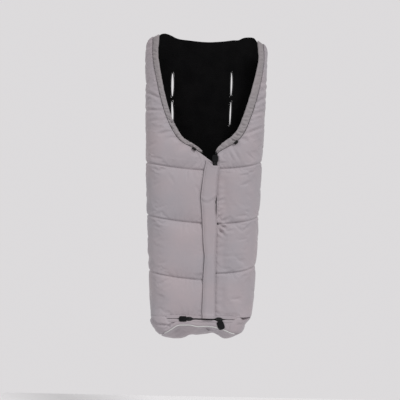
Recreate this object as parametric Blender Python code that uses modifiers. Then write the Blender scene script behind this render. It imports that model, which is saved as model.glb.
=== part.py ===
# Stroller footmuff: a padded, zipped leg sleeve that hangs on the seat of a pushchair.
# Metres, +Z up, front towards -Y, origin on the axis of the bar that carries it.
import math

import bmesh
import bpy
from mathutils import Matrix, Vector

for old in list(bpy.data.objects):
    bpy.data.objects.remove(old, do_unlink=True)

# Overall sizes of the sleeve.
half_width_top = 0.203
half_width_foot = 0.166
rim_z = 0.043
cover_foot_z = -0.883
shoulder_drop = 0.034
rim_dip = 0.026
depth = 0.105
depth_at_rim = 0.074
corner_radius = 0.055

# Layers of the cloth walls, and the clearances between pieces.
shell_cloth = 0.0018
wadding = 0.0075
lining_cloth = 0.0025
layer_gap = 0.0004
seat_gap = 0.0003
seam_gap = 0.0008
weld_distance = 0.00002
stack = shell_cloth + wadding + lining_cloth + 2 * layer_gap

# The bar it hangs on, the rear loops, and the back panel's planes.
bar_radius = 0.0125
loop_web = 0.0016
loop_width = 0.030
loop_spacing = 0.150
loop_flat_half = 0.026
loop_clearance = 0.0008
loop_radius = bar_radius + loop_clearance
loop_seat = 0.0022
loop_wrap = 200
loop_steps = 12
back_y = -(loop_radius + loop_web + loop_seat)
back_front_y = back_y - stack
seam_y = back_front_y - layer_gap
front_y = seam_y - depth

# Quilting: channel heights as shares of the cover's height, at the zip side.
puff_height = 0.011
crown_power = 0.6
fold_shares = (0.70, 0.84)
fold_puff_share = 0.55
channel_shares = (0.138, 0.330, 0.517)
channel_rise = 0.025
puff_edge = 0.045
flat_by_zip = 0.027

# Main zip and its flap.
zip_x = 0.034
zip_top_z = -0.382
edge_to_zip = 0.0075
tooth_pitch = 0.005
tooth_height = 0.0021
tooth_reach = 0.0012
bead_inner = 0.0017
bead_outer = 0.0038
tooth_thickness = 0.0030
tape_thickness = 0.0008
tape_under_shell = 0.007
chain_y = front_y + shell_cloth + layer_gap + tape_thickness / 2
stop_height = 0.004
stop_half_depth = 0.0022

slider_length = 0.020
slider_half_width = 0.0060
slider_plate = 0.0015
channel_half_depth = 0.0020
tape_slot_half = 0.0008
channel_half_width = 0.0046
post_half_width = 0.0010
post_length = 0.004
slider_front_y = chain_y - channel_half_depth - slider_plate
slider_below_top = 0.0105
overrun = 0.004

bail_radius = 0.0030
bail_wire = 0.0008
bail_stand_off = 0.0035
bail_above_centre = 0.003
link_bar = 0.0016
link_thickness = 0.0014
link_half_width = 0.0042
link_side = 0.0018
link_length = 0.0150
link_hole = 0.0048
grip_half_width = 0.0095
grip_length = 0.024
grip_round_share = 0.55
grip_thickness = 0.0036
grip_start = 0.0075
pivot_y = slider_front_y - bail_stand_off

flap_width = 0.045
flap_free = 0.034
flap_thickness = 0.0025
flap_stand_off = 0.0085
flap_shoulder = 0.006
flap_top_z = zip_top_z - slider_below_top + bail_above_centre - bail_radius - 2 * bail_wire
flap_foot_gap = 0.004
flap_rows = 8

# Hem casing round the hood opening, its elastic, and the ends of the elastic.
casing_width_left = 0.017
casing_width_right = 0.025
casing_thickness = 0.009
casing_wall = 0.0016
elastic_diameter = 0.0035
cord_stop_length = 0.014
cord_stop_radius = 0.0042

# Harness slots, and the edge binding sewn round each.
slot_spacing = 0.195
slot_shift = -0.013
slot_width = 0.0085
slot_height = 0.078
slot_upper_z = -0.119
slot_lower_z = -0.214
binding_width = 0.0035
binding_proud = 0.0012

# Anti-slip panel on the back.
panel_half_width = 0.115
panel_height = 0.420
panel_top_z = -0.360
panel_thickness = 0.0015
panel_corner = 0.025

# Foot section below the foot zip.
foot_zip_z = cover_foot_z - edge_to_zip
band_top_z = foot_zip_z - edge_to_zip
sole_front_z = -0.914
sole_back_z = -0.938
sole_lobe = 0.009
back_hem = 0.004
side_gap = 0.002
foot_slider_x = (-0.040, 0.056)
foot_pull_turn = (-90, 160)
foot_end_margin = 0.007
foot_chain_half = half_width_foot - corner_radius - foot_end_margin
piping_diameter = 0.003
piping_turn_share = 0.55
sole_inset = piping_diameter + 2 * seat_gap
piping_steps = 14

part = bpy.data.collections.new("stroller_footmuff")
cutters = bpy.data.collections.new("cutters")
bpy.context.scene.collection.children.link(part)
bpy.context.scene.collection.children.link(cutters)


def material(name, colour, roughness, metallic=0.0):
    made = bpy.data.materials.new(name)
    made.use_nodes = True
    surface = made.node_tree.nodes["Principled BSDF"]
    surface.inputs["Base Color"].default_value = (*colour, 1.0)
    surface.inputs["Roughness"].default_value = roughness
    surface.inputs["Metallic"].default_value = metallic
    return made


shell_grey = (0.33, 0.32, 0.33)
lining_black = (0.012, 0.012, 0.012)
filling_white = (0.75, 0.75, 0.73)
trim_black = (0.02, 0.02, 0.02)
piping_white = (0.72, 0.73, 0.72)
metal_black = (0.05, 0.05, 0.055)


def dress(thing, colour, roughness, metallic=0.0):
    thing.data.materials.clear()
    thing.data.materials.append(material(thing.name, colour, roughness, metallic))
    return thing


def add_mesh(name, vertices, faces, home=part):
    mesh = bpy.data.meshes.new(name)
    mesh.from_pydata([tuple(v) for v in vertices], [], faces)
    made = bpy.data.objects.new(name, mesh)
    home.objects.link(made)
    return made


def outward(mesh):
    work = bmesh.new()
    work.from_mesh(mesh)
    bmesh.ops.remove_doubles(work, verts=work.verts, dist=weld_distance)
    bmesh.ops.recalc_face_normals(work, faces=work.faces)
    work.to_mesh(mesh)
    work.free()


def curve_to_mesh(name, curve, matrix, home=part):
    # Turns a filled or bevelled curve into a welded closed mesh at its place.
    drawn = bpy.data.objects.new(name + "_curve", curve)
    home.objects.link(drawn)
    drawn.matrix_world = matrix
    bpy.context.view_layer.update()
    evaluated = drawn.evaluated_get(bpy.context.evaluated_depsgraph_get())
    mesh = bpy.data.meshes.new_from_object(evaluated)
    made = bpy.data.objects.new(name, mesh)
    home.objects.link(made)
    made.matrix_world = matrix
    bpy.data.objects.remove(drawn, do_unlink=True)
    outward(mesh)
    return made


def plate(name, loops, thickness, matrix, home=part):
    # A flat outline with any holes, extruded half its thickness each way.
    curve = bpy.data.curves.new(name, "CURVE")
    curve.dimensions = "2D"
    curve.fill_mode = "BOTH"
    curve.extrude = thickness / 2
    for loop in loops:
        spline = curve.splines.new("POLY")
        spline.points.add(len(loop) - 1)
        for point, (a, b) in zip(spline.points, loop):
            point.co = (a, b, 0.0, 1.0)
        spline.use_cyclic_u = True
    return curve_to_mesh(name, curve, matrix, home)


def tube(name, points, diameter, closed=False, resolution=2, home=part):
    curve = bpy.data.curves.new(name, "CURVE")
    curve.dimensions = "3D"
    curve.bevel_depth = diameter / 2
    curve.bevel_resolution = resolution
    curve.use_fill_caps = not closed
    spline = curve.splines.new("POLY")
    spline.points.add(len(points) - 1)
    for point, place in zip(spline.points, points):
        point.co = (*place, 1.0)
    spline.use_cyclic_u = closed
    return curve_to_mesh(name, curve, Matrix.Identity(4), home)


def box(name, low, high, home=part):
    bpy.ops.mesh.primitive_cube_add(size=1.0)
    made = bpy.context.object
    for holder in list(made.users_collection):
        holder.objects.unlink(made)
    home.objects.link(made)
    made.name = name
    size = [b - a for a, b in zip(low, high)]
    middle = [(a + b) / 2 for a, b in zip(low, high)]
    made.data.transform(Matrix.Translation(middle) @ Matrix.Diagonal((*size, 1.0)))
    return made


def combine(target, other, operation):
    # One exact Boolean; the cutter stays hidden in its own collection.
    step = target.modifiers.new(other.name, "BOOLEAN")
    step.operation = operation
    step.solver = "EXACT"
    step.object = other
    other.hide_render = True
    other.display_type = "WIRE"


def facing_front(place):
    # Plate axes: x to the right, y up, thickness along Y.
    return Matrix.Translation(place) @ Matrix.Rotation(math.pi / 2, 4, "X")


def rounded_box(half_x, half_y, radius, steps=5, centre=(0.0, 0.0)):
    loop = []
    for quarter, (sx, sy) in enumerate(((1, 1), (-1, 1), (-1, -1), (1, -1))):
        for step in range(steps + 1):
            angle = math.pi / 2 * (quarter + step / steps)
            x = sx * (half_x - radius) + radius * math.cos(angle)
            y = sy * (half_y - radius) + radius * math.sin(angle)
            loop.append((centre[0] + x, centre[1] + y))
    return loop


def blend_share(value):
    value = min(1.0, max(0.0, value))
    return value * value * (3 - 2 * value)


# Plan section of the sleeve at a height: side wall, round corner, flat front.
cover_height = rim_z - cover_foot_z


def half_width(z):
    return half_width_top + (half_width_foot - half_width_top) * z / cover_foot_z


def depth_at(z):
    share = blend_share((z - zip_top_z) / (rim_z - zip_top_z))
    return depth + (depth_at_rim - depth) * share


def plan_length(z, inset):
    wall = depth_at(z) - corner_radius
    if inset >= corner_radius:
        return wall + corner_radius * math.pi / 2 + inset - corner_radius
    return wall + corner_radius * math.acos(1 - inset / corner_radius)


def plan_point(side, z, length):
    # Place and outward direction, at a length along the wall from the side seam.
    width = half_width(z)
    wall = depth_at(z) - corner_radius
    arc = corner_radius * math.pi / 2
    if length <= wall:
        return Vector((side * width, seam_y - length, z)), Vector((side, 0.0, 0.0))
    if length <= wall + arc:
        angle = (length - wall) / corner_radius
        x = width - corner_radius * (1 - math.cos(angle))
        y = seam_y - wall - corner_radius * math.sin(angle)
        return Vector((side * x, y, z)), Vector((side * math.cos(angle), -math.sin(angle), 0.0))
    x = width - corner_radius - (length - wall - arc)
    return Vector((side * x, seam_y - depth_at(z), z)), Vector((0.0, -1.0, 0.0))


# Hood opening: height share of the cover, then the edge's distance from the middle on the left
# and on the right as shares of the top half width.
opening_shares = (
    (0.572, 0.067, 0.205),
    (0.587, 0.170, 0.300),
    (0.612, 0.384, 0.493),
    (0.645, 0.505, 0.618),
    (0.698, 0.622, 0.715),
    (0.762, 0.718, 0.803),
    (0.838, 0.798, 0.880),
    (0.924, 0.865, 0.922),
    (1.000, 0.850, 0.875),
)
zip_top_share = (zip_top_z - cover_foot_z) / cover_height
quilt_steps = 4
hem_share = 0.012


def cover_rows():
    # Height share at the inner edge for each row, with the channels on rows of their own.
    rows = [0.0, hem_share]
    for low, high in zip((0.0,) + channel_shares[:-1], channel_shares):
        rows += [low + (high - low) * step / quilt_steps for step in range(1, quilt_steps + 1)]
    rows.append(zip_top_share)
    return rows + [row[0] for row in opening_shares]


def row_rise(share):
    # How far the row stands above its inner end at the side seam.
    if share <= channel_shares[0]:
        return channel_rise * share / channel_shares[0]
    if share <= zip_top_share:
        return channel_rise
    top = (share - zip_top_share) / (1 - zip_top_share)
    return channel_rise + (-shoulder_drop - channel_rise) * top


def edge_inset(side, share):
    # Distance from the side to the cover's inner edge, across the front.
    z = cover_foot_z + cover_height * share
    if share <= zip_top_share:
        return half_width(z) + side * (-zip_x) - edge_to_zip
    edges = {height: (left, right) for height, left, right in opening_shares}
    return half_width(z) - half_width_top * edges[share][0 if side < 0 else 1]


def puff(share, along, length):
    # Loft of the wadding between two channels, fading to the seams at the sides.
    marks = (0.0,) + channel_shares + fold_shares + (1.0,)
    for low, high in zip(marks, marks[1:]):
        if low <= share <= high:
            part_way = (share - low) / (high - low)
            crown = (4 * part_way * (1 - part_way)) ** crown_power
            strength = 1.0 if high <= channel_shares[-1] else fold_puff_share
            seam_fade = blend_share(along / puff_edge)
            zip_fade = blend_share((length - along - (flat_by_zip - edge_to_zip)) / puff_edge)
            return puff_height * strength * crown * seam_fade * zip_fade
    return 0.0


column_shares = (0.0, 0.14, 0.27, 0.38, 0.49, 0.60, 0.74, 0.86, 0.955, 1.0)


def cover_point(side, share, column):
    edge_z = cover_foot_z + cover_height * share
    length = plan_length(edge_z, edge_inset(side, share))
    along = length * column
    z = edge_z + row_rise(share) * (1 - column) ** 2
    place, direction = plan_point(side, z, along)
    return place + direction * puff(share, along, length)


def grid_faces(rows, columns, flip):
    faces = []
    for r in range(rows - 1):
        for c in range(columns - 1):
            a = r * columns + c
            face = (a, a + 1, a + columns + 1, a + columns)
            faces.append(face[::-1] if flip else face)
    return faces


def layer(name, vertices, faces, start, thickness, colour, roughness):
    # One cloth layer: the shared surface with Solidify, set in from it by its start.
    used = sorted({corner for face in faces for corner in face})
    number = {corner: index for index, corner in enumerate(used)}
    kept = [tuple(number[corner] for corner in face) for face in faces]
    made = add_mesh(name, [vertices[corner] for corner in used], kept)
    solid = made.modifiers.new("wall", "SOLIDIFY")
    solid.thickness = thickness
    solid.offset = -1.0 - 2.0 * start / thickness
    solid.use_even_offset = False
    return dress(made, colour, roughness)


def layers(prefix, vertices, faces, inner_faces):
    layer(prefix + "_shell", vertices, faces, 0.0, shell_cloth, shell_grey, 0.7)
    layer(prefix + "_wadding", vertices, inner_faces, shell_cloth + layer_gap, wadding, filling_white, 0.9)
    start = shell_cloth + 2 * layer_gap + wadding
    layer(prefix + "_lining", vertices, faces, start, lining_cloth, lining_black, 0.95)


def build_cover(side):
    prefix = "left_cover" if side < 0 else "right_cover"
    rows = cover_rows()
    vertices = [cover_point(side, share, column) for share in rows for column in column_shares]
    faces = grid_faces(len(rows), len(column_shares), side > 0)
    # The wadding stops short of the zips, which are sewn between the shell and the lining.
    spans = len(column_shares) - 1
    inner = [face for index, face in enumerate(faces) if index >= spans and index % spans < spans - 1]
    layers(prefix, vertices, faces, inner)


for side in (-1, 1):
    build_cover(side)


# Back panel: flat layers from the rear forward, each with the four harness slots.
shoulder_share = 0.69
outline_steps = 20
sole_slope = (sole_front_z - sole_back_z) / depth
sole_stack = stack * math.sqrt(1 + sole_slope * sole_slope) + seam_gap


def back_top(x):
    across = abs(x) / half_width_top
    if across > shoulder_share:
        fall = (across - shoulder_share) / (1 - shoulder_share)
        return rim_z - shoulder_drop * fall * fall
    return rim_z - rim_dip * (1 - blend_share(across / shoulder_share))


def sole_z(x, y):
    # Top of the sole: it falls to the back, where it sags in a lobe on each side.
    share = (y - front_y) / depth
    lobe = math.sin(math.pi * min(1.0, abs(x) / half_width(sole_back_z))) ** 2
    return sole_front_z + (sole_back_z - sole_front_z) * share - sole_lobe * share * lobe


def back_outline():
    foot_half = half_width(sole_back_z)
    top_half = half_width(rim_z - shoulder_drop)
    loop = []
    for step in range(outline_steps + 1):
        x = foot_half * (2 * step / outline_steps - 1)
        loop.append((x, sole_z(x, seam_y) - sole_stack + back_hem))
    for step in range(outline_steps + 1):
        x = top_half * (1 - 2 * step / outline_steps)
        loop.append((x, back_top(x)))
    return loop


slot_places = {
    "upper_left": (slot_shift - slot_spacing / 2, slot_upper_z),
    "upper_right": (slot_shift + slot_spacing / 2, slot_upper_z),
    "lower_left": (slot_shift - slot_spacing / 2, slot_lower_z),
    "lower_right": (slot_shift + slot_spacing / 2, slot_lower_z),
}


def slot_loop(centre, grow):
    half = slot_width / 2 + grow
    return rounded_box(half, slot_height / 2 + grow, half, 3, centre)


def build_back():
    holes = [slot_loop(centre, binding_width + seat_gap) for centre in slot_places.values()]
    y = back_y
    for name, thickness, colour in (
        ("back_shell", shell_cloth, shell_grey),
        ("back_wadding", wadding, filling_white),
        ("back_lining", lining_cloth, lining_black),
    ):
        made = plate(name, [back_outline()] + holes, thickness, facing_front((0, y - thickness / 2, 0)))
        dress(made, colour, 0.8)
        y -= thickness + layer_gap
    middle_y = back_y - stack / 2
    for name, centre in slot_places.items():
        loops = [slot_loop(centre, binding_width), slot_loop(centre, 0.0)]
        ring = plate("slot_binding_" + name, loops, stack + 2 * binding_proud, facing_front((0, middle_y, 0)))
        dress(ring, trim_black, 0.8)
    panel_middle = panel_top_z - panel_height / 2
    outline = rounded_box(panel_half_width, panel_height / 2, panel_corner, 4, (0, panel_middle))
    place = (0, back_y + seat_gap + panel_thickness / 2, 0)
    dress(plate("antislip_panel", [outline], panel_thickness, facing_front(place)), trim_black, 0.9)


def build_rear_loop(name, x):
    # Webbing sewn flat to the back and carried round the bar.
    def outline(inset):
        radius = loop_radius + loop_web - inset
        flat_y = back_y + seat_gap + inset
        flat_z = loop_flat_half - 2 * inset
        points = [(flat_y, flat_z), (flat_y, -flat_z)]
        for step in range(loop_steps + 1):
            angle = math.radians(loop_wrap * (step / loop_steps - 0.5))
            points.append((radius * math.cos(angle), radius * math.sin(angle)))
        return points

    turned = Matrix(((0, 0, 1, x), (1, 0, 0, 0), (0, 1, 0, 0), (0, 0, 0, 1)))
    dress(plate(name, [outline(0.0), outline(loop_web)], loop_width, turned), trim_black, 0.8)


build_back()
build_rear_loop("rear_loop_left", -loop_spacing / 2)
build_rear_loop("rear_loop_right", loop_spacing / 2)


# Hem casing: a flattened sleeve along the opening, with an elastic inside.
casing_taper_shares = (0.55, 0.80)
casing_sides = 8
casing_squareness = 0.6
cord_stop_rows = {-1: 1, 1: 2}


def casing_stations(side):
    rows = [row[0] for row in opening_shares]
    edges = [cover_point(side, share, 1.0) for share in rows]
    stations = []
    for index, place in enumerate(edges):
        before = edges[max(0, index - 1)]
        after = edges[min(len(edges) - 1, index + 1)]
        along = (after - before).normalized()
        share = rows[index]
        z = cover_foot_z + cover_height * share
        outward_way = plan_point(side, z, plan_length(z, edge_inset(side, share)))[1]
        across = along.cross(outward_way).normalized()
        if across.x * side > 0:
            across = -across
        normal = across.cross(along).normalized()
        if normal.dot(outward_way) < 0:
            normal = -normal
        taper = casing_taper_shares[index] if index < len(casing_taper_shares) else 1.0
        half = (casing_width_left if side < 0 else casing_width_right) / 2 * taper
        centre = place + across * (seam_gap + half) - normal * (stack / 2)
        stations.append((centre, across, normal, half, place, along))
    return stations


def build_casing(side):
    prefix = "left" if side < 0 else "right"
    stations = casing_stations(side)
    vertices = []
    for centre, across, normal, half, place, along in stations:
        for step in range(casing_sides):
            angle = 2 * math.pi * (step + 0.5) / casing_sides
            a, b = math.cos(angle), math.sin(angle)
            wide = math.copysign(abs(a) ** casing_squareness, a) * half
            deep = math.copysign(abs(b) ** casing_squareness, b) * casing_thickness / 2
            vertices.append(centre + across * wide + normal * deep)
    faces = []
    for row in range(len(stations) - 1):
        for step in range(casing_sides):
            a = row * casing_sides + step
            b = row * casing_sides + (step + 1) % casing_sides
            faces.append((a, b, b + casing_sides, a + casing_sides))
    made = add_mesh(prefix + "_hem_casing", vertices, faces)
    outward(made.data)
    centre_of_first = sum((v for v in vertices[:casing_sides]), Vector()) / casing_sides
    first = made.data.polygons[0]
    if (first.center - centre_of_first).dot(first.normal) < 0:
        made.data.flip_normals()
    wall = made.modifiers.new("wall", "SOLIDIFY")
    wall.thickness = casing_wall
    wall.offset = -1.0
    wall.use_even_offset = False
    dress(made, shell_grey, 0.75)
    cord = tube(prefix + "_hem_elastic", [s[0] for s in stations], elastic_diameter, resolution=1)
    dress(cord, trim_black, 0.8)
    centre, across, normal, half, place, along = stations[cord_stop_rows[side]]
    middle = place + normal * (cord_stop_radius + 3 * seat_gap)
    ends = [middle - along * cord_stop_length / 2, middle + along * cord_stop_length / 2]
    dress(tube(prefix + "_cord_stop", ends, 2 * cord_stop_radius, resolution=3), trim_black, 0.4)


for side in (-1, 1):
    build_casing(side)


# Zip parts: tapes, rows of interlocking teeth, sliders and their pulls.
chain_foot_z = cover_foot_z + tape_under_shell + seam_gap
slider_z = zip_top_z - slider_below_top
teeth_top_z = slider_z + slider_length / 2 - post_length - seam_gap
teeth_foot_z = chain_foot_z + stop_height + seam_gap


def teeth(name, start, end, line, side, vertical, phase):
    # A comb outline: a bead along the tape edge, with a tooth at every pitch towards the other row.
    def place(along, across):
        return (line + side * across, along) if vertical else (along, line + side * across)

    points = [place(end, bead_outer), place(start, bead_outer), place(start, bead_inner)]
    count = int((end - start - tooth_pitch) / tooth_pitch)
    for index in range(count):
        low = start + (index + phase) * tooth_pitch + (tooth_pitch / 2 - tooth_height) / 2
        high = low + tooth_height
        points += [place(low, bead_inner), place(low, -tooth_reach)]
        points += [place(high, -tooth_reach), place(high, bead_inner)]
    points.append(place(end, bead_inner))
    if (side > 0) == vertical:
        points.reverse()
    made = add_mesh(name, [(x, chain_y - tooth_thickness / 2, z) for x, z in points], [range(len(points))])
    wall = made.modifiers.new("wall", "SOLIDIFY")
    wall.thickness = tooth_thickness
    wall.offset = -1.0
    return dress(made, trim_black, 0.4)


def strip(name, low, high):
    corners = [(low[0], low[1]), (high[0], low[1]), (high[0], high[1]), (low[0], high[1])]
    return dress(plate(name, [corners], tape_thickness, facing_front((0, chain_y, 0))), trim_black, 0.9)


def slider(name, centre_x, centre_z, across, bail_turn=0, bail_rise=0.0):
    # Two plates joined by a post, open between for the teeth and at the sides for the tapes.
    turn = Matrix.Rotation(across * math.pi / 2, 4, "Y")
    home = Matrix.Translation((centre_x, chain_y, centre_z))
    body = plate(name, [rounded_box(slider_half_width, slider_length / 2, slider_half_width / 2, 3)],
                 2 * (channel_half_depth + slider_plate), home @ turn @ facing_front((0, 0, 0)))
    reach = slider_length / 2 + overrun
    channel = box(name + "_channel", (-channel_half_width, -channel_half_depth, -reach),
                  (channel_half_width, channel_half_depth, reach), cutters)
    wide = slider_half_width + overrun
    slot = box(name + "_slot", (-wide, -tape_slot_half, -reach), (wide, tape_slot_half, reach), cutters)
    deep = channel_half_depth + slider_plate / 2
    top = slider_length / 2 - seat_gap
    post_foot = (-post_half_width, -deep, top - post_length)
    post = box(name + "_post", post_foot, (post_half_width, deep, top), cutters)
    for cutter in (channel, slot, post):
        cutter.matrix_world = home @ turn
    plate_y = -channel_half_depth - slider_plate / 2
    arch_y = pivot_y - chain_y
    arch = [(0, plate_y, bail_radius)]
    for step in range(9):
        angle = math.pi * step / 8
        arch.append((0, arch_y - bail_radius * math.sin(angle), bail_radius * math.cos(angle)))
    arch.append((0, plate_y, -bail_radius))
    bail = tube(name + "_bail", arch, 2 * bail_wire, home=cutters)
    raised = Matrix.Translation((0, 0, bail_rise))
    bail.matrix_world = home @ raised @ Matrix.Rotation(math.radians(bail_turn), 4, "Y")
    combine(body, channel, "DIFFERENCE")
    combine(body, slot, "DIFFERENCE")
    combine(body, post, "UNION")
    combine(body, bail, "UNION")
    return dress(body, metal_black, 0.35, 0.8)


def pull(prefix, x, z, turn):
    # A link through the slider's bail, with a rubber grip moulded over its end; turned from upright.
    low = -link_bar / 2
    middle = (low + link_length) / 2
    outer = rounded_box(link_half_width, (link_length - low) / 2, link_side, 3, (0, middle))
    hole_middle = link_bar / 2 + link_hole / 2
    hole = rounded_box(link_half_width - link_side, link_hole / 2, link_side / 3, 2, (0, hole_middle))
    place = Matrix.Translation((x, pivot_y, z)) @ Matrix.Rotation(math.radians(turn), 4, "Y")
    flat = place @ facing_front((0, 0, 0))
    dress(plate(prefix + "_link", [outer, hole], link_thickness, flat), metal_black, 0.35, 0.8)
    grip_middle = grip_start + grip_length / 2
    corner = grip_half_width * grip_round_share
    outline = rounded_box(grip_half_width, grip_length / 2, corner, 4, (0, grip_middle))
    grip = plate(prefix + "_grip", [outline], grip_thickness, flat)
    half = link_half_width + seat_gap
    deep = link_thickness / 2 + seat_gap
    pocket_foot = (-half, -deep, grip_start - overrun)
    pocket = box(prefix + "_pocket", pocket_foot, (half, deep, link_length + seat_gap), cutters)
    pocket.matrix_world = place
    combine(grip, pocket, "DIFFERENCE")
    dress(grip, trim_black, 0.6)


main_edges = ((-1, "left", 0.5), (1, "right", 0.0))
for side, word, phase in main_edges:
    near = zip_x + side * (bead_outer + seat_gap)
    far = zip_x + side * (edge_to_zip + tape_under_shell)
    strip("main_zip_tape_" + word, (min(near, far), chain_foot_z), (max(near, far), zip_top_z))
    teeth("main_zip_teeth_" + word, teeth_foot_z, teeth_top_z, zip_x, side, True, phase)

stop = box("main_zip_stop", (zip_x - bead_outer, chain_y - stop_half_depth, chain_foot_z),
           (zip_x + bead_outer, chain_y + stop_half_depth, chain_foot_z + stop_height))
dress(stop, metal_black, 0.35, 0.8)
slider("main_zip_slider", zip_x, slider_z, 0, bail_rise=bail_above_centre)
pull("main_zip_pull", zip_x, slider_z + bail_above_centre, 0)


# Wind flap over the main zip, sewn along its right edge and free on the left.
def build_flap():
    sewn_x = zip_x + flap_width - flap_free
    seated = front_y - seat_gap - flap_thickness
    raised = front_y - flap_stand_off - flap_thickness
    profile = [(sewn_x, seated), (sewn_x - flap_shoulder / 2, (seated + raised) / 2)]
    profile += [(sewn_x - flap_shoulder, raised), (zip_x, raised), (zip_x - flap_free, raised)]
    low = cover_foot_z + flap_foot_gap
    vertices = []
    for row in range(flap_rows):
        z = low + (flap_top_z - low) * row / (flap_rows - 1)
        vertices += [Vector((x, y, z)) for x, y in profile]
    faces = grid_faces(flap_rows, len(profile), True)
    layer("zip_flap", vertices, faces, 0.0, flap_thickness, shell_grey, 0.7)


build_flap()


# Foot section: a low band round the toes, and a sole that falls to the back.
band_rise_run = 0.022
band_corner_shares = (0.2, 0.4, 0.6, 0.8, 1.0)
band_row_shares = (0.0, 0.5, 1.0)
sole_column_shares = (-1.0, -0.75, -0.5, -0.25, 0.0, 0.25, 0.5, 0.75, 1.0)
sole_row_shares = (0.0, 0.10, 0.25, 0.45, 0.72, 1.0)


def band_lengths():
    # From the middle: along the zip, up past its end, then round the toe to the side seam.
    total = plan_length(band_top_z, half_width(band_top_z))
    risen = foot_chain_half + band_rise_run
    past = [risen + (total - risen) * share for share in band_corner_shares]
    return [0.0, foot_chain_half / 2, foot_chain_half + seat_gap, risen] + past


def band_point(run, fall):
    side = -1 if run < 0 else 1
    place, direction = plan_point(side, band_top_z, band_lengths()[-1] - abs(run))
    low = sole_z(place.x, place.y)
    # The band closes up to the covers beyond the ends of the zip.
    past_zip = blend_share((abs(run) - foot_chain_half - seat_gap) / (band_rise_run - seat_gap))
    top = band_top_z + (cover_foot_z - side_gap - band_top_z) * past_zip
    return Vector((place.x, place.y, top + (low - top) * fall))


def sole_half_width(y):
    into_corner = seam_y - (depth - corner_radius) - y
    full = half_width(sole_back_z)
    radius = corner_radius - sole_inset
    if into_corner <= 0:
        return full - sole_inset
    return full - corner_radius + math.sqrt(max(0.0, radius ** 2 - into_corner ** 2))


def build_foot():
    half = band_lengths()
    columns = [-run for run in reversed(half[1:])] + half
    vertices = [band_point(run, fall) for fall in band_row_shares for run in columns]
    faces = grid_faces(len(band_row_shares), len(columns), True)
    layers("foot_band", vertices, faces, faces[len(columns) - 1:])
    back_edge = seam_y - stack * sole_slope - back_hem / 2
    run = back_edge - front_y - sole_inset
    vertices = []
    for fall in sole_row_shares:
        y = front_y + sole_inset + run * fall
        half = sole_half_width(y)
        for share in sole_column_shares:
            x = half * share
            vertices.append(Vector((x, y, sole_z(x, y) - sole_stack)))
    faces = grid_faces(len(sole_row_shares), len(sole_column_shares), True)
    layers("sole", vertices, faces, faces)
    # White piping sewn in where the band meets the sole.
    path = []
    for step in range(-piping_steps, piping_steps + 1):
        side = -1 if step < 0 else 1
        z = band_top_z
        length = plan_length(z, half_width(z))
        place, direction = plan_point(side, z, length * (1 - piping_turn_share * abs(step) / piping_steps))
        place -= direction * (piping_diameter / 2 - seat_gap)
        path.append((place.x, place.y, sole_z(place.x, place.y) - piping_diameter / 2 - 2 * seat_gap))
    dress(tube("foot_piping", path, piping_diameter, resolution=1), piping_white, 0.4)


build_foot()


# Foot zip: one lower chain on the foot section, an upper chain on each cover, two sliders.
upper_low = foot_zip_z + bead_outer + seat_gap
upper_high = cover_foot_z + tape_under_shell
lower_low = band_top_z - tape_under_shell
lower_high = foot_zip_z - bead_outer - seat_gap
split_left = zip_x - edge_to_zip
split_right = zip_x + edge_to_zip
strip("foot_zip_tape_lower", (-foot_chain_half, lower_low), (foot_chain_half, lower_high))
strip("foot_zip_tape_left", (-foot_chain_half, upper_low), (split_left, upper_high))
strip("foot_zip_tape_right", (split_right, upper_low), (foot_chain_half, upper_high))
meshed_reach = slider_length / 2 - post_length - seam_gap
for word, x, way, hang in zip(("left", "right"), foot_slider_x, (-1, 1), foot_pull_turn):
    # Each slider's post faces the middle, where the two rows of teeth stand apart.
    inner = x - way * meshed_reach
    span = (-foot_chain_half, inner) if way < 0 else (inner, foot_chain_half)
    teeth("foot_zip_teeth_upper_" + word, *span, foot_zip_z, 1, False, 0.5)
    teeth("foot_zip_teeth_lower_" + word, *span, foot_zip_z, -1, False, 0.0)
    slider("foot_zip_slider_" + word, x, foot_zip_z, -way, bail_turn=90 if way < 0 else 0)
    pull("foot_zip_pull_" + word, x, foot_zip_z, hang)
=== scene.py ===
import math

import bmesh
import bpy
import numpy as np
from mathutils import Matrix, Vector, noise


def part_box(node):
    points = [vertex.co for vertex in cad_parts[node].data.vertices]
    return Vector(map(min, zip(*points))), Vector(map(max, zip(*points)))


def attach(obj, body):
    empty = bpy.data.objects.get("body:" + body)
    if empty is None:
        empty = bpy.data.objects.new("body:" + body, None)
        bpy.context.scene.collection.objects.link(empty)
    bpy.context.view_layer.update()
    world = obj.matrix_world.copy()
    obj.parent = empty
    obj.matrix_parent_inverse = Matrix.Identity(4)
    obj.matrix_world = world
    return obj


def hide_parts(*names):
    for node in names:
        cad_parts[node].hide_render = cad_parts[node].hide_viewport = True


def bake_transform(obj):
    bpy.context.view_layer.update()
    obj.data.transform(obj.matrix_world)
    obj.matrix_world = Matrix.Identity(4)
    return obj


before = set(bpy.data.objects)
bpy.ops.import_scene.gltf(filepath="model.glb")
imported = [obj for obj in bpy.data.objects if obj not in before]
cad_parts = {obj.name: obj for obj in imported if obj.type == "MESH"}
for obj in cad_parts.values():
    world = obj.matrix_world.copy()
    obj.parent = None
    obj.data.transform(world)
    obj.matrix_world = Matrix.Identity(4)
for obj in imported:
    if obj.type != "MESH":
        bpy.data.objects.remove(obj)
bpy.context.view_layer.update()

scene = bpy.context.scene
scene.view_settings.view_transform = "Standard"

# The camera stands level in front of the sleeve, a little rolled, so that the sleeve leans
# in the picture as it does where it hangs.
camera_place, camera_roll = (-0.0125, -3.0, -0.505), math.radians(1.14)
camera_lens = bpy.data.cameras.new("front_camera")
camera_lens.lens, camera_lens.sensor_width = 79.6, 36.0
camera = bpy.data.objects.new("front_camera", camera_lens)
camera.matrix_world = (Matrix.Translation(camera_place) @ Matrix.Rotation(math.pi / 2, 4, "X")
                       @ Matrix.Rotation(camera_roll, 4, "Z"))
scene.collection.objects.link(camera)
scene.camera = camera

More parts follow.
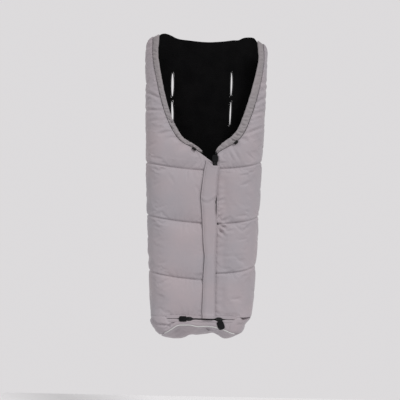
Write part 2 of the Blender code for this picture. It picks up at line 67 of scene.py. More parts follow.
# Plain soft studio: a pale surround lights the sleeve from all round, a broad lamp stands
# high on the right, and weak ones on the left and behind. The floor is a plain pale board.
surround_colour, surround_light = (0.72, 0.705, 0.715, 1.0), 0.52
floor_half, floor_z, floor_roughness = 0.85, -1.36, 0.9
# Each lamp's name and strength, and its spread, tilt and turn in degrees.
lamps = (("key_lamp", 1.55, 16, 50, 34), ("side_lamp", 0.45, 45, 65, -50), ("rear_lamp", 0.9, 45, 55, 190))


def add_node(tree, kind, sockets=(), **settings):
    # Adds a node and gives its outputs. Each socket named gets a value or is joined to an output.
    node = tree.nodes.new(kind)
    for setting, value in settings.items():
        setattr(node, setting, value)
    for socket, value in dict(sockets).items():
        if isinstance(value, bpy.types.NodeSocket):
            tree.links.new(value, node.inputs[socket])
        else:
            node.inputs[socket].default_value = value
    return node.outputs


def reckon(tree, operation, *values):
    return add_node(tree, "ShaderNodeMath", enumerate(values), operation=operation)[0]


surround = bpy.data.worlds.new("pale_studio")
scene.world = surround
surround.use_nodes = True
sky = surround.node_tree
sky.nodes.clear()
shown = add_node(sky, "ShaderNodeBackground", {"Color": surround_colour})
lit = add_node(sky, "ShaderNodeBackground", {"Color": (1.0, 1.0, 1.0, 1.0), "Strength": surround_light})
ray = add_node(sky, "ShaderNodeLightPath")
seen = reckon(sky, "MAXIMUM", reckon(sky, "MAXIMUM", ray["Is Camera Ray"], ray["Is Glossy Ray"]),
              ray["Is Transmission Ray"])
either = add_node(sky, "ShaderNodeMixShader", {"Fac": seen, 1: lit[0], 2: shown[0]})
add_node(sky, "ShaderNodeOutputWorld", {"Surface": either[0]})
for name, strength, spread, tilt, turn in lamps:
    lamp = bpy.data.lights.new(name, "SUN")
    lamp.energy, lamp.angle = strength, math.radians(spread)
    hung = bpy.data.objects.new(name, lamp)
    hung.rotation_euler = (math.radians(tilt), 0.0, math.radians(turn))
    scene.collection.objects.link(hung)
floor_mesh = bpy.data.meshes.new("studio_floor")
floor_corners = [(x * floor_half, y * floor_half, floor_z) for x, y in ((-1, -1), (1, -1), (1, 1), (-1, 1))]
floor_mesh.from_pydata(floor_corners, [], [(0, 1, 2, 3)])
studio_floor = bpy.data.objects.new("studio_floor", floor_mesh)
scene.collection.objects.link(studio_floor)
floor_paint = bpy.data.materials.new("floor_paint")
floor_paint.use_nodes = True
floor_surface = floor_paint.node_tree.nodes["Principled BSDF"].inputs
floor_surface["Base Color"].default_value = surround_colour
floor_surface["Roughness"].default_value = floor_roughness
floor_mesh.materials.append(floor_paint)

# Front covers, outer cloth and filling: two panels of fine grey polyester that meet at the
# zip, quilted through in three rows, with soft polyester wadding that swells between the rows.
# Sizes are in metres; where a pair is kept by side, -1 is the left in the picture.
half_width_top, half_width_foot = 0.203, 0.166
rim_z, cover_foot_z = 0.043, -0.883
cover_height = rim_z - cover_foot_z
seam_y, depth, depth_at_rim, corner_radius = -0.0301, 0.105, 0.074, 0.055
front_y = seam_y - depth
zip_x, zip_top_z, edge_to_zip = 0.034, -0.382, 0.0075
zip_top_share = (zip_top_z - cover_foot_z) / cover_height
channel_shares = {-1: (0.128, 0.326, 0.512), 1: (0.152, 0.326, 0.519)}
channel_rise, arc_eases_from, arc_slope, arc_level_at, arc_end, arc_most = 0.030, 0.75, 1.5, 1.75, 1.25, 0.94
shoulder_drop, shoulder_run = 0.036, 0.046
rim_drop, shoulder_slope = {-1: 0.0145, 1: 0.0300}, {-1: 0.50, 1: 0.62}
wall_inside = 0.0097
cover_spacing, columns_across = 0.0052, 62
# Height share on the cover, and the cover's inner edge there, from the zip top to the rim.
opening_edge = {
    -1: ((0.541, -0.0265), (0.556, -0.007), (0.572, 0.0136), (0.587, 0.0345), (0.612, 0.078), (0.645, 0.1025),
         (0.698, 0.1268), (0.762, 0.1472), (0.838, 0.1648), (0.924, 0.1792), (1.0, 0.1800)),
    1: ((0.541, 0.0415), (0.572, 0.0425), (0.587, 0.0609), (0.612, 0.1001), (0.645, 0.1262), (0.698, 0.1468),
        (0.762, 0.1655), (0.838, 0.1812), (0.924, 0.1915), (1.0, 0.1890)),
}
# Height, and the share of its half width that the sleeve keeps there: drawn in above the hem,
# and bulging on the left higher up. The bulge starts in front of the side seam.
kept_width = {
    -1: ((-1.0, 0.68), (-0.966, 0.760), (-0.958, 0.790), (-0.950, 0.825), (-0.939, 0.868), (-0.930, 0.910),
         (-0.918, 0.947), (-0.908, 0.970), (-0.890, 0.978), (-0.880, 0.982), (-0.820, 1.004), (-0.720, 1.016),
         (-0.634, 1.024), (-0.495, 1.031), (-0.400, 1.028), (-0.300, 1.014), (-0.200, 1.004), (-0.120, 1.0)),
    1: ((-1.0, 0.64), (-0.960, 0.700), (-0.950, 0.730), (-0.944, 0.755), (-0.935, 0.795), (-0.925, 0.825),
        (-0.910, 0.835), (-0.899, 0.880), (-0.889, 0.940), (-0.876, 0.968), (-0.820, 1.0)),
}
bulge_run, drawn_from, drawn_run = 0.035, 0.05, 0.09


def smooth_share(value):
    value = np.clip(value, 0.0, 1.0)
    return value * value * (3 - 2 * value)


def curve_through(marks, value):
    # Smooth outline through marks of place and size.
    if value <= marks[0][0]:
        return marks[0][1]
    for index in range(len(marks) - 1):
        (low, at_low), (high, at_high) = marks[index], marks[index + 1]
        if value <= high:
            before, after = marks[max(index - 1, 0)], marks[min(index + 2, len(marks) - 1)]
            t = (value - low) / (high - low)
            slope_low = (at_high - before[1]) / (high - before[0]) * (high - low)
            slope_high = (after[1] - at_low) / (after[0] - low) * (high - low)
            return ((2 * t ** 3 - 3 * t ** 2 + 1) * at_low + (t ** 3 - 2 * t ** 2 + t) * slope_low
                    + (3 * t ** 2 - 2 * t ** 3) * at_high + (t ** 3 - t ** 2) * slope_high)
    return marks[-1][1]


def side_of(x):
    return -1 if x < 0 else 1


def half_width(z):
    return half_width_top + (half_width_foot - half_width_top) * z / cover_foot_z


def depth_at(z):
    return depth + (depth_at_rim - depth) * smooth_share((z - zip_top_z) / (rim_z - zip_top_z))


def sleeve_length(z, x):
    # Length round the sleeve from the side seam to a distance x from the middle, on the front.
    inset = half_width(z) - x
    wall = depth_at(z) - corner_radius
    if inset >= corner_radius:
        return wall + corner_radius * math.pi / 2 + inset - corner_radius
    return wall + corner_radius * math.acos(1 - inset / corner_radius)


def sleeve_place(side, z, length):
    # The place that a length round the sleeve from the side seam reaches.
    width, wall, arc = half_width(z), depth_at(z) - corner_radius, corner_radius * math.pi / 2
    if length <= wall:
        return side * width, seam_y - length, z
    if length <= wall + arc:
        angle = (length - wall) / corner_radius
        x = width - corner_radius * (1 - math.cos(angle))
        return side * x, seam_y - wall - corner_radius * math.sin(angle), z
    return side * (width - corner_radius - (length - wall - arc)), seam_y - depth_at(z), z


def inner_edge(side, share):
    if share <= zip_top_share:
        return side * zip_x + edge_to_zip
    return curve_through(opening_edge[side], share)


def row_rise(side, share, column, length):
    # How far a row climbs from the zip to the side seam; the rim falls off round the shoulder.
    top = max(0.0, (share - zip_top_share) / (1 - zip_top_share))
    inset = length * (1 - column)
    across = inset / (length - depth + corner_radius)
    over = across - arc_eases_from
    eased = arc_eases_from ** 2 + arc_slope * over * (arc_level_at - min(arc_end, across))
    arc = across ** 2 if over < 0 else eased
    climb = channel_rise * min(1.0, share / channel_shares[side][0]) * (1 - top) * min(arc, arc_most)
    shoulder = min(1.0, inset / shoulder_run)
    fall = shoulder_slope[side] * shoulder + (1 - shoulder_slope[side]) * (1 - math.sqrt(1 - shoulder ** 2))
    return climb - rim_drop[side] * top ** 3 - shoulder_drop * top ** 1.5 * fall


def drawn_in(x, y, z):
    # A place on the covers with the sleeve's kept width; the middle by the zip stays.
    share = curve_through(kept_width[side_of(x)], z)
    if share > 1:
        share = 1 + (share - 1) * float(smooth_share((seam_y - y) / bulge_run))
    return x * (1 - (1 - share) * float(smooth_share((abs(x) - drawn_from) / drawn_run)))


def cover_rows(side, spacing):
    # Rows up the cover, with each quilting seam and the zip's top on a row of its own.
    marks = (0.0,) + channel_shares[side] + (zip_top_share, 1.0)
    rows = [0.0]
    for low, high in zip(marks, marks[1:]):
        count = max(2, round((high - low) * cover_height / spacing))
        rows += [low + (high - low) * step / count for step in range(1, count + 1)]
    return rows


def cover_grid(side, rows, columns):
    # Places over the whole cover, and each one's length round the sleeve from the side seam.
    grid, lengths = np.empty((len(rows), columns, 3)), np.empty((len(rows), columns))
    for r, share in enumerate(rows):
        edge_z = cover_foot_z + cover_height * share
        length = sleeve_length(edge_z, inner_edge(side, share))
        for c in range(columns):
            column = c / (columns - 1)
            x, y, z = sleeve_place(side, edge_z + row_rise(side, share, column, length), length * column)
            grid[r, c] = (drawn_in(x, y, z), y, z)
            lengths[r, c] = length * column
    return grid, lengths


def facing_out(grid, side):
    normal = np.cross(np.gradient(grid, axis=1), np.gradient(grid, axis=0)) * -side
    return normal / np.maximum(np.linalg.norm(normal, axis=2, keepdims=True), 1e-12)


def finer(grid):
    # Halves the spacing both ways, on a smooth curve through the old points.
    for axis in (0, 1):
        rows = np.moveaxis(grid, axis, 0)
        ends = np.concatenate((2 * rows[:1] - rows[1:2], rows, 2 * rows[-1:] - rows[-2:-1]))
        new = np.empty((2 * len(rows) - 1,) + rows.shape[1:])
        new[0::2] = rows
        new[1::2] = (9 * (ends[1:-2] + ends[2:-1]) - ends[:-3] - ends[3:]) / 16
        grid = np.moveaxis(new, 0, axis)
    return grid


def add_piece(name, vertices, faces, cloth=None, sharp=50):
    # Makes the object, with the cloth's own length and height in metres as its UV map.
    mesh = bpy.data.meshes.new(name)
    mesh.from_pydata([tuple(v) for v in vertices], [], faces)
    if cloth is not None:
        corners = np.empty(len(mesh.loops), dtype=np.int32)
        mesh.loops.foreach_get("vertex_index", corners)
        mesh.uv_layers.new(name="cloth").data.foreach_set("uv", np.asarray(cloth)[corners].ravel())
    work = bmesh.new()
    work.from_mesh(mesh)
    bmesh.ops.recalc_face_normals(work, faces=work.faces)
    if work.calc_volume(signed=True) < 0:
        bmesh.ops.reverse_faces(work, faces=work.faces)
    work.to_mesh(mesh)
    work.free()
    mesh.polygons.foreach_set("use_smooth", [True] * len(mesh.polygons))
    mesh.set_sharp_from_angle(angle=math.radians(sharp))
    piece = bpy.data.objects.new(name, mesh)
    scene.collection.objects.link(piece)
    return piece


def grid_faces(rows, columns):
    # The numbers of a grid's points, and its faces of four.
    base = np.arange(rows * columns).reshape(rows, columns)
    corners = (base[:-1, :-1], base[:-1, 1:], base[1:, 1:], base[1:, :-1])
    return base, np.stack(corners, axis=-1).reshape(-1, 4)


def two_sided(name, outer, inner, cloth_u, cloth_v):
    # A closed cloth piece from its two faces, joined round their edges.
    rows, columns = outer.shape[:2]
    base, quads = grid_faces(rows, columns)
    ring = np.concatenate((base[0, :], base[1:, -1], base[-1, -2::-1], base[-2:0:-1, 0]))
    after = np.roll(ring, -1)
    under = rows * columns
    edge = np.stack((after, ring, ring + under, after + under), axis=-1)
    faces = np.concatenate((quads, quads[:, ::-1] + under, edge)).tolist()
    vertices = np.concatenate((outer.reshape(-1, 3), inner.reshape(-1, 3)))
    cloth = np.stack([np.broadcast_to(way, (rows, columns)).ravel() for way in (cloth_u, cloth_v)], axis=-1)
    return add_piece(name, vertices, faces, np.concatenate((cloth, cloth)))


def swell(grid, normal, held, growth, pressure):
    # The filling: the cloth is held at its seams and blown out from inside, with a little
    # more cloth than room, so that it gathers into soft folds along the seams.
    quads = grid_faces(*grid.shape[:2])[1]
    if np.cross(grid[0, 1] - grid[0, 0], grid[1, 0] - grid[0, 0]).dot(normal[0, 0]) < 0:
        quads = quads[:, ::-1]
    mesh = bpy.data.meshes.new("swelling")
    mesh.from_pydata(grid.reshape(-1, 3).tolist(), [], quads.tolist())
    sheet = bpy.data.objects.new("swelling", mesh)
    scene.collection.objects.link(sheet)
    group = sheet.vertex_groups.new(name="held")
    group.add(np.flatnonzero(held).tolist(), 1.0, "REPLACE")
    cloth = sheet.modifiers.new("cloth", "CLOTH")
    for setting, value in (("quality", 5), ("mass", 0.05), ("tension_stiffness", 10), ("shear_stiffness", 4),
                           ("compression_stiffness", 6), ("bending_stiffness", 0.2), ("use_pressure", True),
                           ("uniform_pressure_force", pressure), ("shrink_min", -growth),
                           ("vertex_group_mass", "held")):
        setattr(cloth.settings, setting, value)
    cloth.settings.effector_weights.gravity = 0.0
    cloth.collision_settings.use_collision = False
    first_step, last_step = 1, 20
    cloth.point_cache.frame_start, cloth.point_cache.frame_end = first_step, last_step
    for time_step in range(first_step, last_step + 1):
        scene.frame_set(time_step)
    evaluated = sheet.evaluated_get(bpy.context.evaluated_depsgraph_get())
    moved = np.empty(grid.size)
    evaluated.data.vertices.foreach_get("co", moved)
    scene.frame_set(first_step)
    bpy.data.objects.remove(sheet, do_unlink=True)
    return moved.reshape(grid.shape) - grid


def crease(grid, marks, width):
    # Depth of soft folds in the cloth, each a line between two places seen from the front,
    # with a low ridge raised beside it.
    x, z = grid[..., 0], grid[..., 2]
    ridge_share, ridge_at, end_share = 0.35, 2.2, 0.05
    total = np.zeros(x.shape)
    for x1, z1, x2, z2, fold in marks:
        run = np.array((x2 - x1, z2 - z1))
        share = np.clip(((x - x1) * run[0] + (z - z1) * run[1]) / run.dot(run), 0, 1)
        away = np.hypot(x - x1 - share * run[0], z - z1 - share * run[1])
        ends = np.sin(np.pi * (share * (1 - 2 * end_share) + end_share)) ** 0.5
        ridge = ridge_share * np.exp(-((away - ridge_at * width) / width) ** 2)
        total -= fold * ends * (np.exp(-(away / width) ** 2) - ridge)
    return total


def ripple(x, y, z):
    return noise.noise(Vector((x, y, z)))


def soft_noise(grid, size, seed):
    heights = [noise.noise(Vector(place)) for place in grid.reshape(-1, 3) / size + seed]
    return np.array(heights).reshape(grid.shape[:2])


# How the wadding swells: the cloth's growth and pressure, how far each place may come out,
# and how far it may slide along the sleeve.
wadding_growth, wadding_pressure = 0.016, 6.0
puff_most, puff_by_zip, flat_by_zip, puff_edge = 0.0150, 0.0020, 0.020, 0.040
puff_least, sunk_most, puff_share_by_rim, puff_share_by_seam = 0.0005, -0.001, 0.62, 0.25
flap_overlap, flap_swell_run = 0.001, 0.016
slide_most, slide_kept = 0.005, 0.5
# Depths and lengths of the sewn detail: seam grooves and their gathers, puckers along the zip
# and the opening, broad waves, creases, the dip at the edge, the free hem and the seam's turn.
groove_depth, groove_width, groove_start = 0.0030, 0.0030, 0.006
gather_depth, gather_size, gather_run, gather_start = 0.0011, 0.0085, 0.014, 0.004
pucker_depth, pucker_size, pucker_start, puckers_by_flap = 0.0016, 0.012, 0.004, {-1: 0.55, 1: 1.0}
pucker_run, pucker_run_at_rim, tape_inset = 0.020, 0.016, 0.014
wave_depth, wave_size = 0.0012, 0.060
crease_width, side_fade, edge_fade, rim_fade_share = 0.0045, 0.030, 0.015, 0.03
edge_dip, edge_dip_width = 0.0010, 0.004
hem_lift, hem_height, hem_from, hem_run = 0.0045, 0.012, 0.150, 0.05
seam_turn, seam_turn_run = 0.0028, 0.005
# Each crease runs from one x and z to another, and the last number is its depth.
cover_creases = {
    -1: ((-0.196, -0.152, -0.150, -0.178, 0.0030), (-0.196, -0.212, -0.140, -0.218, 0.0024),
         (-0.180, -0.252, -0.150, -0.246, 0.0020), (-0.156, -0.292, -0.116, -0.288, 0.0015),
         (-0.186, -0.334, -0.160, -0.322, 0.0014), (-0.188, -0.500, -0.172, -0.545, 0.0024),
         (-0.188, -0.680, -0.165, -0.715, 0.0024), (-0.115, -0.425, -0.098, -0.452, 0.0010),
         (-0.024, -0.462, -0.013, -0.484, 0.0022)),
    1: ((0.158, -0.190, 0.199, -0.162, 0.0032), (0.150, -0.226, 0.192, -0.208, 0.0026),
        (0.138, -0.286, 0.190, -0.262, 0.0030), (0.176, -0.120, 0.200, -0.110, 0.0024),
        (0.180, -0.145, 0.201, -0.132, 0.0020), (0.090, -0.335, 0.112, -0.372, 0.0020),
        (0.078, -0.345, 0.090, -0.375, 0.0016), (0.048, -0.548, 0.058, -0.536, 0.0028),
        (0.050, -0.586, 0.082, -0.562, 0.0022), (0.050, -0.606, 0.098, -0.602, 0.0024),
        (0.048, -0.578, 0.070, -0.564, 0.0026), (0.048, -0.592, 0.078, -0.590, 0.0028),
        (0.048, -0.600, 0.072, -0.620, 0.0026), (0.048, -0.662, 0.060, -0.650, 0.0018),
        (0.050, -0.686, 0.122, -0.682, 0.0012), (0.048, -0.508, 0.066, -0.500, 0.0024),
        (0.046, -0.566, 0.060, -0.550, 0.0042), (0.046, -0.580, 0.072, -0.596, 0.0046),
        (0.046, -0.588, 0.062, -0.612, 0.0044)),
}
# Height and place of the wind flap's free edge, which the left cover swells up to.
flap_left = ((-0.893, 0.0050), (-0.865, 0.0020), (-0.800, 0.0030), (-0.736, 0.0041), (-0.686, 0.0060),
             (-0.657, 0.0025), (-0.600, -0.0015), (-0.577, -0.0027), (-0.521, -0.0075), (-0.498, -0.0095),
             (-0.462, -0.0066), (-0.412, -0.0010), (-0.380, 0.0055))


def swollen_cover(side):
    rows, seams = cover_rows(side, cover_spacing), channel_shares[side]
    base, lengths = cover_grid(side, rows, columns_across)
    normal, shares = facing_out(base, side), np.array(rows)
    rising = (lengths[:, -1:] - lengths - flat_by_zip) / puff_edge
    if side < 0:
        free_edge = np.array([curve_through(flap_left, z) for z in base[:, -1, 2]])
        rising = (free_edge[:, None] - base[..., 0] + flap_overlap) / flap_swell_run
    by_zip = puff_by_zip + (puff_most - puff_by_zip) * smooth_share(rising)
    cap = np.where((shares <= zip_top_share)[:, None], by_zip, puff_most * puff_share_by_rim)
    cap = cap * (puff_share_by_seam + (1 - puff_share_by_seam) * smooth_share(lengths / puff_edge))
    held = np.zeros(base.shape[:2])
    for mark in (0.0, 1.0) + seams:
        held[np.abs(shares - mark) < 1e-9, :] = 1.0
    held[:, 0] = held[:, -1] = 1.0
    offset = swell(base, normal, held, wadding_growth, wadding_pressure)
    base, offset = finer(base), finer(offset)
    cap, lengths = finer(cap[..., None])[..., 0], finer(lengths[..., None])[..., 0]
    shares = finer(np.tile(shares[:, None, None], (1, columns_across, 1)))[:, 0, 0]
    normal = facing_out(base, side)
    out = (offset * normal).sum(axis=2)
    drift = offset - normal * out[..., None]
    cap = np.maximum(cap, puff_least)
    total = cap * np.tanh(np.maximum(out, sunk_most) / cap)
    to_edge, up = lengths[:, -1:] - lengths, shares[:, None]
    off_side = smooth_share(lengths / side_fade)
    inside = off_side * smooth_share(to_edge / edge_fade) * smooth_share((1.0 - up) / rim_fade_share)
    far = np.linalg.norm(drift, axis=2)
    drift = drift * (np.minimum(far, slide_most) / np.maximum(far, 1e-9) * inside)[..., None]
    for mark in seams:
        away = np.abs(up - mark) * cover_height
        total -= groove_depth * np.exp(-(away / groove_width) ** 2) * smooth_share(lengths / groove_start)
        gathers = soft_noise(base * np.array((1.0, 1.0, 0.25)), gather_size, 3.7 * side)
        total += gather_depth * gathers * np.exp(-away / gather_run) * smooth_share(away / gather_start)
    puckers = soft_noise(base * np.array((0.30, 1.0, 1.0)), pucker_size, 9.1 * side)
    sewn = np.where(up <= zip_top_share,
                    np.exp(-np.maximum(0, to_edge - tape_inset) / pucker_run) * puckers_by_flap[side],
                    np.exp(-to_edge / pucker_run_at_rim))
    total += pucker_depth * puckers * sewn * smooth_share(to_edge / pucker_start)
    total += crease(base, cover_creases[side], crease_width) * off_side
    waves = wave_depth * soft_noise(base, wave_size, 1.3 * side)
    total += waves * off_side * smooth_share(to_edge / side_fade)
    total -= edge_dip * np.exp(-(to_edge / edge_dip_width) ** 2) * (up > zip_top_share)
    # The hem beyond the ends of the foot zip isn't drawn in.
    beyond = smooth_share((hem_from - lengths) / hem_run) * off_side
    total += hem_lift * beyond * np.exp(-up * cover_height / hem_height)
    outer = base + normal * total[..., None] + drift * slide_kept
    outer[..., 1] += seam_turn * (1 - smooth_share(lengths / seam_turn_run))
    return outer, base, normal, lengths, shares


def new_tree(name, kind, takes, gives):
    # An empty node group with named inputs and outputs.
    tree = bpy.data.node_groups.new(name, kind)
    for way, sockets in (("INPUT", takes), ("OUTPUT", gives)):
        for word, held in sockets.items():
            tree.interface.new_socket(word, in_out=way, socket_type="NodeSocket" + held)
    return tree, add_node(tree, "NodeGroupInput"), tree.nodes.new("NodeGroupOutput").inputs


def weave_group():
    # Plain weave: warp and weft threads that pass over each other in turn.
    tree, given, made = new_tree("plain_weave", "ShaderNodeTree",
                                 {"Cloth": "Vector", "Threads per metre": "Float"},
                                 {"Height": "Float", "Over": "Float"})
    scaled = add_node(tree, "ShaderNodeVectorMath", {0: given["Cloth"], "Scale": given["Threads per metre"]},
                      operation="SCALE")
    ways = add_node(tree, "ShaderNodeSeparateXYZ", {0: scaled["Vector"]})
    rounds = [reckon(tree, "ABSOLUTE", reckon(tree, "SINE", reckon(tree, "MULTIPLY", ways[axis], math.pi)))
              for axis in (0, 1)]
    cells = [reckon(tree, "FLOOR", ways[axis]) for axis in (0, 1)]
    over = reckon(tree, "FLOORED_MODULO", reckon(tree, "ADD", *cells), 2.0)
    warp = reckon(tree, "MULTIPLY", rounds[0], over)
    weft = reckon(tree, "MULTIPLY", rounds[1], reckon(tree, "SUBTRACT", 1.0, over))
    tree.links.new(reckon(tree, "MAXIMUM", warp, weft), made["Height"])
    tree.links.new(over, made["Over"])
    return tree


def tone_group():
    # Faint uneven tone over a surface, as from handling, at a size given in metres.
    tree, given, made = new_tree("uneven_tone", "ShaderNodeTree",
                                 {"Place": "Vector", "Patches per metre": "Float", "Clean": "Color",
                                  "Handled": "Color"}, {"Colour": "Color", "Patch": "Float"})
    patch = add_node(tree, "ShaderNodeTexNoise", {
        "Vector": given["Place"], "Scale": given["Patches per metre"], "Detail": 4.0, "Roughness": 0.6})
    spread = add_node(tree, "ShaderNodeMapRange", {"Value": patch["Fac"], "From Min": 0.35, "From Max": 0.65})
    mixed = add_node(tree, "ShaderNodeMix", {"Factor": spread["Result"], "A": given["Clean"],
                                             "B": given["Handled"]}, data_type="RGBA")
    tree.links.new(mixed["Result"], made["Colour"])
    tree.links.new(spread["Result"], made["Patch"])
    return tree


weave, uneven_tone = weave_group(), tone_group()
surface_words = {"roughness": "Roughness", "sheen": "Sheen Weight", "sheen_roughness": "Sheen Roughness",
                 "specular": "Specular IOR Level"}


def start_material(name, clean, handled, patches, **surface):
    # A material in a clean and a handled colour; the rest sets the surface's own sockets.
    made = bpy.data.materials.new(name)
    made.use_nodes = True
    tree = made.node_tree
    place = add_node(tree, "ShaderNodeTexCoord")
    tone = add_node(tree, "ShaderNodeGroup", {"Place": place["Object"], "Patches per metre": patches,
                                              "Clean": (*clean, 1.0), "Handled": (*handled, 1.0)},
                    node_tree=uneven_tone)
    shader = tree.nodes["Principled BSDF"].inputs
    tree.links.new(tone["Colour"], shader["Base Color"])
    for word, value in surface.items():
        shader[surface_words[word]].default_value = value
    return made, tree, place, shader


def raised(tree, height, strength, distance, over=None):
    # A bump in metres, on top of another one where that is given.
    sockets = {"Height": height, "Strength": strength, "Distance": distance}
    if over is not None:
        sockets["Normal"] = over
    return add_node(tree, "ShaderNodeBump", sockets)["Normal"]


def woven_cloth(name, clean, handled, threads, bump, wrinkle, roughness=0.62, sheen=0.25, by_map=True):
    # Woven cloth: an uneven dye, threads in a fine bump, and small random wrinkles.
    made, tree, place, shader = start_material(name, clean, handled, 6.0, roughness=roughness, sheen=sheen,
                                               sheen_roughness=0.45, specular=0.35)
    laid = place["UV"]
    if not by_map:
        laid = add_node(tree, "ShaderNodeVectorRotate", {"Vector": place["Object"], "Angle": -math.pi / 2},
                        rotation_type="X_AXIS")["Vector"]
    weaving = add_node(tree, "ShaderNodeGroup", {"Cloth": laid, "Threads per metre": threads},
                       node_tree=weave)
    wrinkles = add_node(tree, "ShaderNodeTexNoise", {
        "Vector": place["Object"], "Scale": 55.0, "Detail": 5.0, "Distortion": 0.8})
    soft = raised(tree, wrinkles["Fac"], wrinkle, 0.0012)
    tree.links.new(raised(tree, weaving["Height"], bump, 0.35 / threads, soft), shader["Normal"])
    return made


def beads_on(tree, places, segments, radii, turned=(0.0, 0.0, 0.0)):
    # A small bead at every place, with its three radii.
    bead = add_node(tree, "GeometryNodeMeshUVSphere", {"Segments": segments, "Rings": 4, "Radius": 1.0})
    size = add_node(tree, "ShaderNodeCombineXYZ", enumerate(radii))
    shaped = add_node(tree, "GeometryNodeTransform", {"Geometry": bead["Mesh"], "Scale": size["Vector"]})
    return add_node(tree, "GeometryNodeInstanceOnPoints", {
        "Points": places, "Instance": shaped["Geometry"], "Rotation": turned})["Instances"]


def made_solid(tree, copies, finish, end):
    solid = add_node(tree, "GeometryNodeRealizeInstances", {"Geometry": copies})
    finished = add_node(tree, "GeometryNodeSetMaterial", {"Geometry": solid["Geometry"], "Material": finish})
    tree.links.new(finished["Geometry"], end)


def stitch_tree():
    # A row of stitches along each line: one short thread at every step, half sunk in the cloth.
    tree, given, made = new_tree("stitch_row", "GeometryNodeTree",
                                 {"Lines": "Geometry", "Step": "Float", "Stitch length": "Float",
                                  "Thread radius": "Float", "Thread": "Material"}, {"Stitches": "Geometry"})
    tree.is_modifier = True
    curve = add_node(tree, "GeometryNodeMeshToCurve", {"Mesh": given["Lines"]})
    steps = add_node(tree, "GeometryNodeResampleCurve", {"Curve": curve["Curve"], "Length": given["Step"]},
                     mode="LENGTH")
    along = add_node(tree, "GeometryNodeInputTangent")["Tangent"]
    turned = add_node(tree, "FunctionNodeAlignRotationToVector", {"Vector": along}, axis="Z")
    half = reckon(tree, "MULTIPLY", given["Stitch length"], 0.5)
    radii = (given["Thread radius"], given["Thread radius"], half)
    row = beads_on(tree, steps["Curve"], 6, radii, turned["Rotation"])
    made_solid(tree, row, given["Thread"], made["Stitches"])
    return tree


def made_by(tree, maker, name, sizes):
    # Runs a tree on an object and keeps what it makes as one plain mesh.
    work = maker.modifiers.new("work", "NODES")
    work.node_group = tree
    sockets = {item.name: item.identifier for item in tree.interface.items_tree if item.in_out == "INPUT"}
    for word, value in sizes.items():
        work[sockets[word]] = value
    bpy.context.view_layer.update()
    mesh = bpy.data.meshes.new_from_object(maker.evaluated_get(bpy.context.evaluated_depsgraph_get()))
    bpy.data.objects.remove(maker, do_unlink=True)
    mesh.name = name
    mesh.polygons.foreach_set("use_smooth", [True] * len(mesh.polygons))
    made = bpy.data.objects.new(name, mesh)
    scene.collection.objects.link(made)
    return made


def sew(name, lines, body, thread, step=0.0034, length=0.0027, radius=0.00036, bend=None):
    # Stitches along lines of places, all in one piece, on one body, or left unattached where a bend is given.
    vertices, edges = [], []
    for line in lines:
        first = len(vertices)
        vertices += [tuple(point) for point in line]
        edges += [(first + k, first + k + 1) for k in range(len(line) - 1)]
    mesh = bpy.data.meshes.new(name)
    mesh.from_pydata(vertices, edges, [])
    guide = bpy.data.objects.new(name + "_lines", mesh)
    scene.collection.objects.link(guide)
    sewn = made_by(stitch_row, guide, name, {"Step": step, "Stitch length": length, "Thread radius": radius,
                                             "Thread": thread})
    if bend:
        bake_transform(sewn)
    else:
        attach(sewn, body)


def thread_material(name, clean, handled):
    # Twisted polyester thread, a little shiny.
    made, tree, place, shader = start_material(name, clean, handled, 300.0, roughness=0.5, sheen=0.2)
    ply = add_node(tree, "ShaderNodeTexWave", {"Vector": place["Object"], "Scale": 900.0},
                   bands_direction="DIAGONAL")
    tree.links.new(raised(tree, ply["Fac"], 0.4, 0.0001), shader["Normal"])
    return made


stitch_row = stitch_tree()
grey_cloth, grey_cool = (0.396, 0.340, 0.362), (0.358, 0.328, 0.356)
shell_threads, shell_bump, shell_wrinkle = 2600.0, 0.35, 0.35
grey_thread = thread_material("grey_thread", (0.270, 0.240, 0.252), (0.225, 0.200, 0.212))
shell_cloth = woven_cloth("shell_cloth", grey_cloth, grey_cool, shell_threads, shell_bump, shell_wrinkle)
cover_names = {-1: "left_cover", 1: "right_cover"}
stitch_column, row_ends = -4, 3
cover_edges = {}
for side, word in cover_names.items():
    outer, base, normal, lengths, shares = swollen_cover(side)
    padding = two_sided(word + "_padding", outer, base - normal * wall_inside, lengths, base[..., 2])
    padding.data.materials.append(shell_cloth)
    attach(padding, word)
    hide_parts(word + "_shell", word + "_wadding")
    in_opening = shares >= zip_top_share - 1e-9
    cover_edges[side] = (base[in_opening, -1], normal[in_opening, -1], shares[in_opening])
    seams = [outer[np.abs(shares - mark).argmin(), 2:-2] for mark in channel_shares[side]]
    seams += [outer[in_opening, stitch_column][:-row_ends], outer[~in_opening, stitch_column][row_ends:]]
    sew(word + "_stitches", seams, word, grey_thread)

# Fleece lining of each cover: black polyester fleece with a short pile, sewn in along the
# zip, the side seam and the hood opening.
fleece_black, fleece_worn = (0.0024, 0.0023, 0.0026), (0.0042, 0.0040, 0.0043)
lining_start, lining_end = 0.0104, 0.0129
lining_spacing, lining_columns, pile_height, pile_size = 0.0075, 44, 0.0006, 0.008

fleece, tree, place, shader = start_material("fleece", fleece_black, fleece_worn, 22.0, roughness=0.95,
                                             sheen=0.025, sheen_roughness=0.5, specular=0.05)
hairs = add_node(tree, "ShaderNodeTexNoise", {
    "Vector": place["Object"], "Scale": 750.0, "Detail": 6.0, "Roughness": 0.7})
tufts = add_node(tree, "ShaderNodeTexVoronoi", {"Vector": place["Object"], "Scale": 260.0})
both = reckon(tree, "ADD", hairs["Fac"], tufts["Distance"])
tree.links.new(raised(tree, both, 0.8, 0.0012), shader["Normal"])
for side, word in cover_names.items():
    base, lengths = cover_grid(side, cover_rows(side, lining_spacing), lining_columns)
    normal = facing_out(base, side)
    pile = pile_height * soft_noise(base, pile_size, 5.0 * side)
    inner = base - normal * (lining_end + pile[..., None])
    lining = two_sided(word + "_fleece", base - normal * lining_start, inner, lengths, base[..., 2])
    lining.data.materials.append(fleece)
    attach(lining, word)
    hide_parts(word + "_lining")

